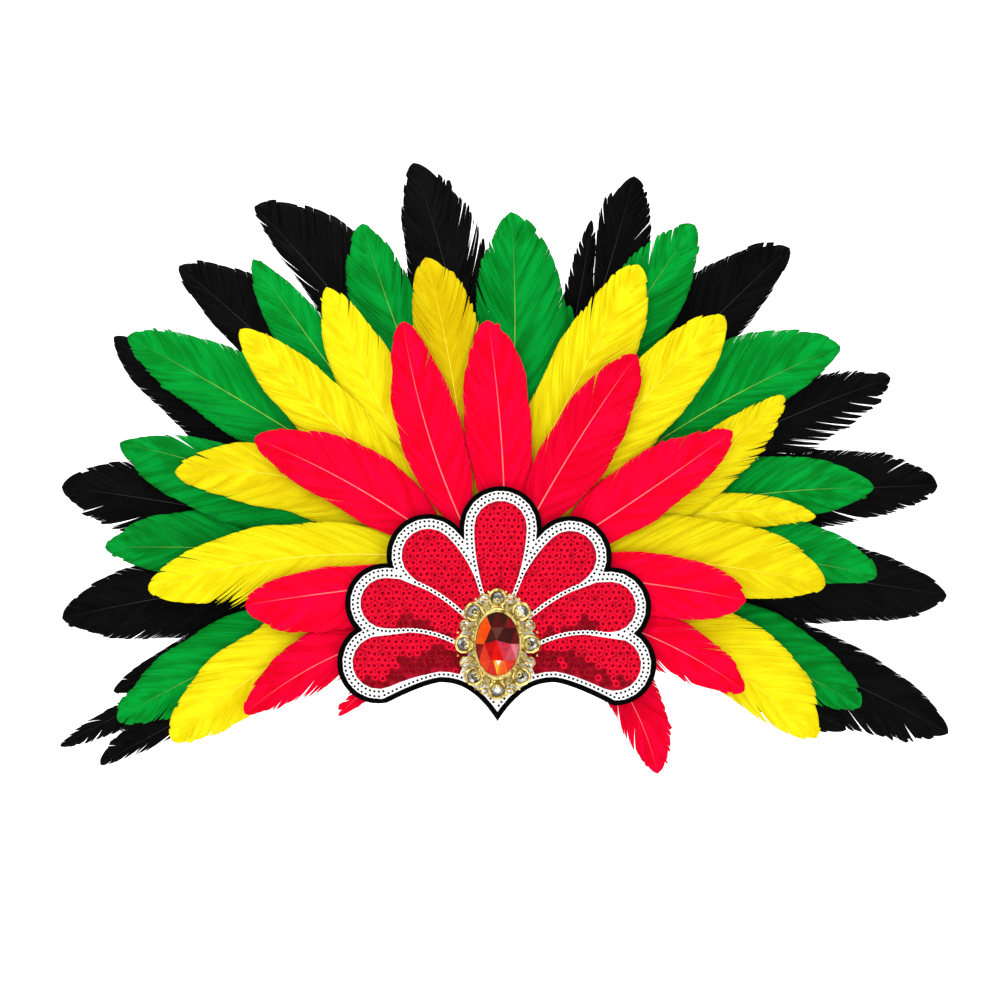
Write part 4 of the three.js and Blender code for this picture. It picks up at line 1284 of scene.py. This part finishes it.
def white_rows():
    """Two rows round the outside, one row between petals and one over the brows to the point."""
    rng = random.Random("white sequins")
    middle_row = BROW_EDGE + NARROW_TRIM / 2
    places = []
    for side in (1, -1):
        places += spaced(brow_edge(side, BAND_ROWS[1], middle_row), WHITE_SPACING)
    for row in reversed(BAND_ROWS):
        places += spaced(lobed_edge(row, middle_row + 0.5), WHITE_SPACING)
    for index in range(len(PETALS) - 1):
        places += spaced(divider_line(index), WHITE_SPACING)
    kept = []
    for place in places:
        crowded = any((place - other).length < WHITE_SPACING * 0.8 for other in kept)
        past_band = from_petals(place) > BAND_ROWS[1] + 0.3 and not in_middle(place)
        if not (under_brooch(place, -1.5) or crowded or above_brow(place) < BROW_EDGE + 0.9 or past_band):
            kept.append(place)
    depth = TRIM_BACK - TRIM_THICKNESS - 0.12
    return [(place, depth, small_tilt(rng, 4), rng.uniform(0.75, 1)) for place in kept]


# The brooch


def oval_place(turn, path, depth):
    return Vector((math.cos(turn) * path[0], depth, math.sin(turn) * path[1] - PLATE_DROP)) * MM


def ring_at(name, place, major, minor, material):
    clean_selection()
    bpy.ops.mesh.primitive_torus_add(
        major_segments=24,
        minor_segments=8,
        major_radius=major * MM,
        minor_radius=minor * MM,
        rotation=(math.pi / 2, 0, 0),
    )
    bpy.context.object.location = place
    return added(name, material)


def ball_at(name, place, radius, material, segments=6):
    clean_selection()
    bpy.ops.mesh.primitive_uv_sphere_add(
        segments=segments, ring_count=6, radius=radius * MM, location=place, rotation=(math.pi / 2, 0, 0)
    )
    return added(name, material)


def crystal_at(name, place, radius, height, material):
    """A small round stone: girdle, eight crown facets and a table, facing -Y."""
    clean_selection()
    bpy.ops.mesh.primitive_cone_add(
        vertices=8,
        radius1=radius * MM,
        radius2=radius * 0.5 * MM,
        depth=height * MM,
        rotation=(math.pi / 2, 0, 0),
    )
    bpy.context.object.location = place
    stone = added(name, material)
    bevel = stone.modifiers.new("Facets", "BEVEL")
    bevel.width = 0.22 * MM
    bevel.segments = 1
    finished(stone, bevel)
    return stone


def path_out(grow):
    return OPENWORK_PATH[0] + grow, OPENWORK_PATH[1] + grow


def scroll_parts(turn, front, gold):
    """One scroll: its wire, a ring and a crescent on its inner side, two beads and two curls."""
    outward = Vector((math.cos(turn), 0, math.sin(turn))) * MM
    centre = oval_place(turn, OPENWORK_PATH, front + OPENWORK_WIRE * 0.6)
    boss = centre - outward * 1.5 + Vector((0, -1.3, 0)) * MM
    crescent = centre - outward * 1.2 - Vector((0, 0.7, 0)) * MM
    parts = [
        ring_at("scroll", centre, SCROLL_RADIUS - OPENWORK_WIRE, OPENWORK_WIRE, gold),
        ring_at("boss", boss, *BOSS, gold),
        ring_at("crescent", crescent, *CRESCENT, gold),
    ]
    for way in (-1, 1):
        bead = oval_place(turn + way * 0.22, path_out(BEAD_OUT), front + 0.3)
        parts.append(ball_at("bead", bead, BEAD, gold, segments=8))
        curl = oval_place(turn + way * 0.2, path_out(-CURL_IN), front + 0.2)
        parts.append(ball_at("curl", curl, CURL, gold, segments=8))
    return parts


def cup_parts(turn, gold):
    """One cup's rim with its claws."""
    cup = oval_place(turn, CUP_PATH, SETTING_BACK - CUP_HEIGHT + 0.5)
    parts = [ring_at("cup", cup, CUP_RADIUS - 0.45, CUP_RIM, gold)]
    for k in range(CLAWS):
        claw_turn = turn + k * 2.094
        out = Vector((math.cos(claw_turn) * CLAW_REACH, -0.35, math.sin(claw_turn) * CLAW_REACH)) * MM
        parts.append(ball_at("claw", cup + out, CLAW, gold))
    return parts


def bezel_rim(gold):
    clean_selection()
    bpy.ops.mesh.primitive_torus_add(
        major_segments=72,
        minor_segments=10,
        major_radius=1.0,
        minor_radius=0.06,
        rotation=(math.pi / 2, 0, 0),
    )
    rim = bpy.context.object
    rim.scale = (BEZEL_PATH[0] * MM, BEZEL_PATH[1] * MM, 0.011)
    rim.location = (0, (SETTING_BACK - BEZEL_HEIGHT + 0.6) * MM, -PLATE_DROP * MM)
    return added("rim", gold)


def gold_setting(gold):
    """The cast openwork round the stone: scrolls, cups, beaded rim and bezel."""
    front = SETTING_BACK - SETTING_THICKNESS
    parts = []
    for i in range(STONES_ROUND):
        turn = 2 * math.pi * i / STONES_ROUND
        parts += scroll_parts(turn, front, gold)
        parts += cup_parts(turn + math.pi / STONES_ROUND, gold)
    round_bezel = (BEZEL_PATH[0] + GRAIN_OUT, BEZEL_PATH[1] + GRAIN_OUT)
    for i in range(GRAINS):
        grain = oval_place(2 * math.pi * i / GRAINS, round_bezel, SETTING_BACK - BEZEL_HEIGHT + 1.5)
        parts.append(ball_at("grain", grain, GRAIN, gold))
    parts.append(bezel_rim(gold))
    whole = joined("brooch_openwork", parts)
    smooth(whole, 50)
    return whole


def small_crystals(glass):
    """A dark crystal in every scroll and a paler one in every cup, each facet with its own painted
    reflection tone; the dark ones stand in for shade in the openwork.
    """
    rng = random.Random("crystals")
    parts = []
    for i in range(STONES_ROUND):
        turn = 2 * math.pi * i / STONES_ROUND
        place = oval_place(turn, OPENWORK_PATH, SETTING_BACK - SETTING_THICKNESS - 0.3)
        parts.append(crystal_at("crystal", place, SCROLL_RADIUS - 2 * OPENWORK_WIRE + 0.1, 1.6, glass))
        turn += math.pi / STONES_ROUND
        place = oval_place(turn, CUP_PATH, SETTING_BACK - CUP_HEIGHT - 0.6)
        parts.append(crystal_at("crystal", place, 2.6, 1.5, glass))
    for i, part in enumerate(parts):
        layer = part.data.attributes.new("tone", "FLOAT", "FACE")
        for facet in layer.data:
            # Painted reflections: mostly dark facets in the scrolls, paler ones in the cups
            facet.value = rng.random() ** (2.6 if i % 2 == 0 else 1.1)
    return joined("brooch_crystals", parts)


# Painted reflection colours of the stone's facets, from the wearer's left round to the left again
CROWN_REFLECTIONS = [
    (0.12, 0.003, 0.004),
    (0.035, 0.004, 0.003),
    (0.17, 0.004, 0.006),
    (0.03, 0.006, 0.003),
    (0.07, 0.004, 0.002),
    (0.025, 0.006, 0.003),
    (0.72, 0.07, 0.002),
    (0.75, 0.05, 0.001),
    (0.72, 0.09, 0.002),
    (0.2, 0.003, 0.002),
    (0.6, 0.02, 0.001),
    (0.68, 0.035, 0.001),
    (0.5, 0.008, 0.002),
    (0.8, 0.14, 0.002),
    (0.72, 0.09, 0.002),
    (0.62, 0.02, 0.001),
    (0.5, 0.05, 0.08),
    (0.66, 0.16, 0.2),
]
TABLE_REFLECTIONS = [
    (0.04, 0.006, 0.005),
    (0.1, 0.028, 0.022),
    (0.05, 0.008, 0.005),
    (0.45, 0.002, 0.002),
    (0.62, 0.004, 0.001),
    (0.5, 0.025, 0.05),
]
FOOT_FOIL = (0.2, 0.004, 0.004)
UNDER_FOIL = (0.1, 0.002, 0.002)
GLINT_SIDE = 4  # the side of the table, counted round, with a white and a yellow glint under it
GLINT = (0.9, 0.82, 0.75)
GLOW = (0.9, 0.35, 0.01)


def faceted_stone(material):
    """An oval stone: six-sided table, eighteen crown facets down to the girdle, and a short foot."""
    back = SETTING_BACK - STONE_FLOOR - SEAT_GAP
    per = GIRDLE_POINTS
    count = 2 * STONE_SIDES * per
    points, faces, foil = [], [], []

    def at(x, z, height):
        return Vector((x * STONE_HALF_WIDTH, back - height, z * STONE_HALF_HEIGHT - PLATE_DROP)) * MM

    def facet(corners, colour):
        base = len(points)
        points.extend(corners)
        faces.append(tuple(range(base, base + len(corners))))
        foil.append(colour)

    def round_at(i, share, height):
        turn = 2 * math.pi * i / count
        return at(math.cos(turn) * share, math.sin(turn) * share, height)

    rim = [round_at(i, 1, STONE_HEIGHT * STONE_GIRDLE) for i in range(count)] * 2
    foot = [round_at(i, STONE_FOOT, 0) for i in range(count)] * 2
    corners = []
    for k in range(STONE_SIDES):
        turn = math.radians(60 * k)
        corners.append(at(math.cos(turn) * STONE_TABLE[0], math.sin(turn) * STONE_TABLE[1], STONE_HEIGHT))
    heart = at(-0.05, 0.12, STONE_HEIGHT)
    for k in range(STONE_SIDES):
        here, after = corners[k], corners[(k + 1) % STONE_SIDES]
        low_side, under, high_side = CROWN_REFLECTIONS[3 * k : 3 * k + 3]
        facet([heart, after, here], TABLE_REFLECTIONS[k])
        low, middle, high = 2 * k * per, (2 * k + 1) * per, (2 * k + 2) * per
        if k == GLINT_SIDE:
            near, far = here.lerp(after, 0.4), here.lerp(after, 0.78)
            point = near.lerp(far, 0.6).lerp(rim[middle], 0.34)
            line = here.lerp(near, 0.5)
            facet([near, far, point], GLINT)
            facet([line, near, point, rim[middle]], GLOW)
            facet([here, line, rim[middle]], low_side)
            facet([point, far, after, rim[middle]], under)
        else:
            facet([here, after, rim[middle]], under)
        for i in range(low, middle):
            facet([here, rim[i + 1], rim[i]], low_side)
        for i in range(middle, high):
            facet([after, rim[i + 1], rim[i]], high_side)
    for i in range(count):
        facet([rim[i], rim[i + 1], foot[i + 1], foot[i]], FOOT_FOIL)
    facet(foot[:count], UNDER_FOIL)
    stone = sheet_from("centre_stone_cut", points, faces, material)
    # The foil attribute holds each facet's colour: painted reflections and glints on the crown and table
    layer = stone.data.attributes.new("foil", "FLOAT_COLOR", "CORNER")
    for polygon in stone.data.polygons:
        for loop in polygon.loop_indices:
            layer.data[loop].color = (*foil[polygon.index], 1)
    in_edit(stone)
    bpy.ops.mesh.remove_doubles(threshold=0.000001)
    bpy.ops.mesh.normals_make_consistent(inside=False)
    leave_edit()
    return stone


# The back felt and the strap


def felt_oval(material):
    points = [Vector((0, -BACK_FELT, BACK_LIFT)) * MM]
    faces = []
    for ring in range(1, PAD_RINGS + 1):
        for i in range(PAD_SIDES):
            turn = 2 * math.pi * i / PAD_SIDES
            x = math.cos(turn) * BACK_HALF_WIDTH * ring / PAD_RINGS
            z = math.sin(turn) * BACK_HALF_HEIGHT * ring / PAD_RINGS + BACK_LIFT
            points.append(Vector((x, bow_at(x) - BACK_FELT, z)) * MM)
    for i in range(PAD_SIDES):
        j = (i + 1) % PAD_SIDES
        faces.append((0, 1 + i, 1 + j))
        for ring in range(PAD_RINGS - 1):
            a = 1 + ring * PAD_SIDES
            faces.append((a + i, a + PAD_SIDES + i, a + PAD_SIDES + j, a + j))
    felt = sheet_from("padded_back", points, faces, material)
    face_outwards(felt)
    toward_face = felt.data.polygons[0].normal.y < 0
    thickened(felt, BACK_FELT, -1.0 if toward_face else 1.0)
    soft_edge(felt, "Soft edge", 0.6, 3)
    return felt


def back_pad(material):
    """The felt oval over the quills, with the stepped core that the quill ends are set round."""
    parts = [felt_oval(material)]
    back = -BACK_FELT - PAD_ROOM
    for order, _, _, root in RINGS.values():
        front = FAN_FRONT + order * TIERS * TIER_STEP + PAD_ROOM
        radius = root - CORE_ROOM - 0.2
        clean_selection()
        bpy.ops.mesh.primitive_cylinder_add(
            vertices=64, radius=radius * MM, depth=(back - front) * MM, rotation=(math.pi / 2, 0, 0)
        )
        bpy.context.object.location = (0, (front + back) / 2 * MM, FAN_LIFT * MM)
        core = added("core", material)
        in_edit(core)
        bpy.ops.mesh.bisect(plane_co=(0, 0, 0), plane_no=(1, 0, 0))
        leave_edit()
        for vertex in core.data.vertices:
            vertex.co.y += bow_at(vertex.co.x / MM) * MM
        parts.append(core)
    whole = joined("padded_back", parts)
    smooth(whole)
    return whole


def strap_line(steps=8):
    """The strap's middle line seen from above, from one end on the back felt to the other."""
    half = []
    tab_end = STRAP_HALF_WIDTH + STRAP_THICKNESS / 2 - STRAP_CORNER
    off = SEAT_GAP + STRAP_THICKNESS / 2
    for i in range(steps + 1):
        x = tab_end - STRAP_TAB + STRAP_TAB * i / steps
        half.append(Vector((x, bow_at(x) + off)))
    start = half[-1]
    lean = bow_lean(start.x)
    radius = STRAP_CORNER / (1 - math.sin(lean))
    for i in range(1, 2 * steps + 1):
        turn = lean + (math.pi / 2 - lean) * i / (2 * steps)
        x = start.x + radius * (math.sin(turn) - math.sin(lean))
        half.append(Vector((x, start.y + radius * (math.cos(lean) - math.cos(turn)))))
    side = half[-1]
    for i in range(5 * steps + 1):
        turn = math.pi / 2 * i / (5 * steps)
        y = side.y + STRAP_SIDE + STRAP_BACK_DEPTH * math.sin(turn)
        half.append(Vector((side.x * math.cos(turn), y)))
    other = [Vector((-p.x, p.y)) for p in reversed(half[:-1])]
    return half + other


def elastic_strap(material):
    line = strap_line()
    across = STRAP_ROWS + 1
    points, faces, map_of = [], [], []
    gone = 0.0
    for i, place in enumerate(line):
        if i:
            gone += (place - line[i - 1]).length
        for k in range(across):
            z = STRAP_WIDTH * (k / STRAP_ROWS - 0.5)
            points.append(Vector((place.x, place.y, z)) * MM)
            map_of.append((gone, z))
    for i in range(len(line) - 1):
        for k in range(STRAP_ROWS):
            a = i * across + k
            faces.append((a, a + 1, a + 1 + across, a + across))
    strap = sheet_from("elastic_strap", points, faces, material)
    layer = strap.data.uv_layers.new(name="weave")
    for loop in strap.data.loops:
        layer.data[loop.index].uv = map_of[loop.vertex_index]
    thickened(strap, STRAP_THICKNESS)
    soft_edge(strap, "Woven edge", 0.35, 2)
    smooth(strap)
    return strap


# Stage, light and camera


def studio_paper():
    """A sheet of white paper that curves up behind the object and is clear from behind."""
    material, tree, shader = new_material("studio_paper")
    white = (1, 1, 1, 1)
    settings(shader, base_color=white, roughness=1.0, emission_color=white, emission_strength=0.35)
    back = tree.nodes.new("ShaderNodeNewGeometry").outputs["Backfacing"]
    clear = tree.nodes.new("ShaderNodeBsdfTransparent").outputs["BSDF"]
    either = linked(tree, "ShaderNodeMixShader", {0: back, 1: shader.outputs["BSDF"], 2: clear})
    tree.links.new(either.outputs["Shader"], tree.nodes["Material Output"].inputs["Surface"])
    steps = 24
    profile = [Vector((PAPER_FRONT, PAPER_FLOOR)), Vector((PAPER_CURVE_STARTS, PAPER_FLOOR))]
    for i in range(1, steps + 1):
        turn = math.pi / 2 * i / steps
        rise = PAPER_CURVE * (1 - math.cos(turn))
        profile.append(Vector((PAPER_CURVE_STARTS + PAPER_CURVE * math.sin(turn), PAPER_FLOOR + rise)))
    profile.append(Vector((PAPER_CURVE_STARTS + PAPER_CURVE, PAPER_TOP)))
    points = [(x, place.x, place.y) for place in profile for x in (-PAPER_HALF_WIDTH, PAPER_HALF_WIDTH)]
    faces = [(2 * i, 2 * i + 1, 2 * i + 3, 2 * i + 2) for i in range(len(profile) - 1)]
    clean_selection()
    paper = sheet_from("studio_paper", points, faces, material)
    round_all(paper)


def softbox(name, place, energy, size):
    data = bpy.data.lights.new(name, "AREA")
    data.energy = energy
    data.shape = "RECTANGLE"
    data.size, data.size_y = size
    lamp = in_scene(bpy.data.objects.new(name, data))
    lamp.location = place
    lamp.rotation_euler = (Vector(AIM) - Vector(place)).to_track_quat("-Z", "Y").to_euler()


def light():
    world = bpy.data.worlds.new("studio")
    bpy.context.scene.world = world
    world.use_nodes = True
    world.node_tree.nodes["Background"].inputs["Color"].default_value = (1, 1, 1, 1)
    world.node_tree.nodes["Background"].inputs["Strength"].default_value = 0.5
    softbox("key", (-1.0, -2.2, 1.6), 34, (1.6, 1.6))
    softbox("fill", (1.6, -2.4, 0.4), 16, (1.8, 1.8))
    softbox("paper_light", (0, -0.4, 2.6), 60, (4, 1))


def camera():
    data = bpy.data.cameras.new("front")
    data.type = "PERSP"
    data.sensor_width = SENSOR
    data.lens = SENSOR * CAMERA_DISTANCE / FRAME_WIDTH
    data.clip_end = 30
    view = in_scene(bpy.data.objects.new("front", data))
    view.location = (FRAME_CENTRE[0], -CAMERA_DISTANCE, FRAME_CENTRE[1])
    view.rotation_euler = (math.pi / 2, 0, 0)
    bpy.context.scene.camera = view


def dressed(piece, slot, *nodes):
    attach(piece, "root")
    if nodes:
        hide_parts(*nodes)


def repainted(frame, node, material):
    """The CAD node keeps its mesh and takes a finished material."""
    materials = frame["nodes"][node].data.materials
    materials.clear()
    materials.append(material)


def dress_fan(grain, marks_of_wear_and_reflection):
    for colour, rows in FEATHERS.items():
        vane, shaft = vane_material(colour, grain), shaft_material(colour, marks_of_wear_and_reflection)
        for number, row in enumerate(rows, 1):
            feather = Feather(colour, number, row)
            dressed(feather.piece(vane, shaft), f"{colour}_feather", feather.name)


def sew_sequins(names, slot, places, disc, knot):
    """The discs at their places, and a thread knot in the hole of each."""
    dressed(sewn_on(names[0], disc, places), slot)
    lifted = [(place, depth - STITCH_PROUD, tilt, tone) for place, depth, tilt, tone in places]
    dressed(sewn_on(names[1], knot, lifted), slot)


def dress_plate(frame, felt, cloth, marks_of_wear_and_reflection):
    dressed(felt_plate(felt), "black_felt", "felt_base")
    repainted(frame, "sequin_cloth", fabric_material("red_backing_cloth", cloth))
    repainted(frame, "sequin_trim", fabric_material("white_braid_cloth", cloth))
    foil = sequin_material("red_sequin_foil", marks_of_wear_and_reflection)
    thread = fabric_material("dark_red_thread", cloth)
    disc = one_sequin("red_sequin", RED_SEQUIN, RED_HOLE, 0.18, foil)
    knot = one_stitch("red_stitch", RED_STITCH, thread)
    sew_sequins(("red_sequin_field", "red_sequin_stitches"), "red_sequins", red_sequin_places(), disc, knot)
    foil = sequin_material("white_sequin_gloss", marks_of_wear_and_reflection)
    thread = fabric_material("black_thread", cloth)
    disc = one_sequin("white_sequin", WHITE_SEQUIN, WHITE_HOLE, 0.15, foil)
    knot = one_stitch("black_stitch", WHITE_STITCH, thread)
    sew_sequins(("white_sequin_rows", "white_sequin_stitches"), "white_sequins", white_rows(), disc, knot)


def dress_brooch(frame, marks_of_wear_and_reflection):
    gold = gold_material(marks_of_wear_and_reflection)
    repainted(frame, "brooch_setting", gold)
    dressed(gold_setting(gold), "gold_metal")
    dressed(small_crystals(crystal_material(marks_of_wear_and_reflection)), "red_stone")
    dressed(faceted_stone(painted_facet_stone_material(marks_of_wear_and_reflection)), "red_stone", "centre_stone")


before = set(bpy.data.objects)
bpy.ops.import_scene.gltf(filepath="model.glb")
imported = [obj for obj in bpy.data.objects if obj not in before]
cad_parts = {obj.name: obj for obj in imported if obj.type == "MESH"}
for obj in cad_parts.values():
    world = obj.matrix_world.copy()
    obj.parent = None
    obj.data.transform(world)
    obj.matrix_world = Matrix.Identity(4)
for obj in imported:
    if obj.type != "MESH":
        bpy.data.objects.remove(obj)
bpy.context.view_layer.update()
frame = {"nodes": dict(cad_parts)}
camera()
bpy.context.scene.view_settings.view_transform = "Standard"

cloth_grain = cloth_grain_group()
shared_marks_of_wear_and_reflection = wear_and_reflection_group()
black_felt = fabric_material("black_wool_felt", cloth_grain)
dress_fan(barb_grain_group(), shared_marks_of_wear_and_reflection)
dress_plate(frame, black_felt, cloth_grain, shared_marks_of_wear_and_reflection)
dress_brooch(frame, shared_marks_of_wear_and_reflection)
dressed(back_pad(black_felt), "black_felt", "back_felt")
dressed(elastic_strap(elastic_material()), "black_elastic", "head_strap")

studio_paper()
light()
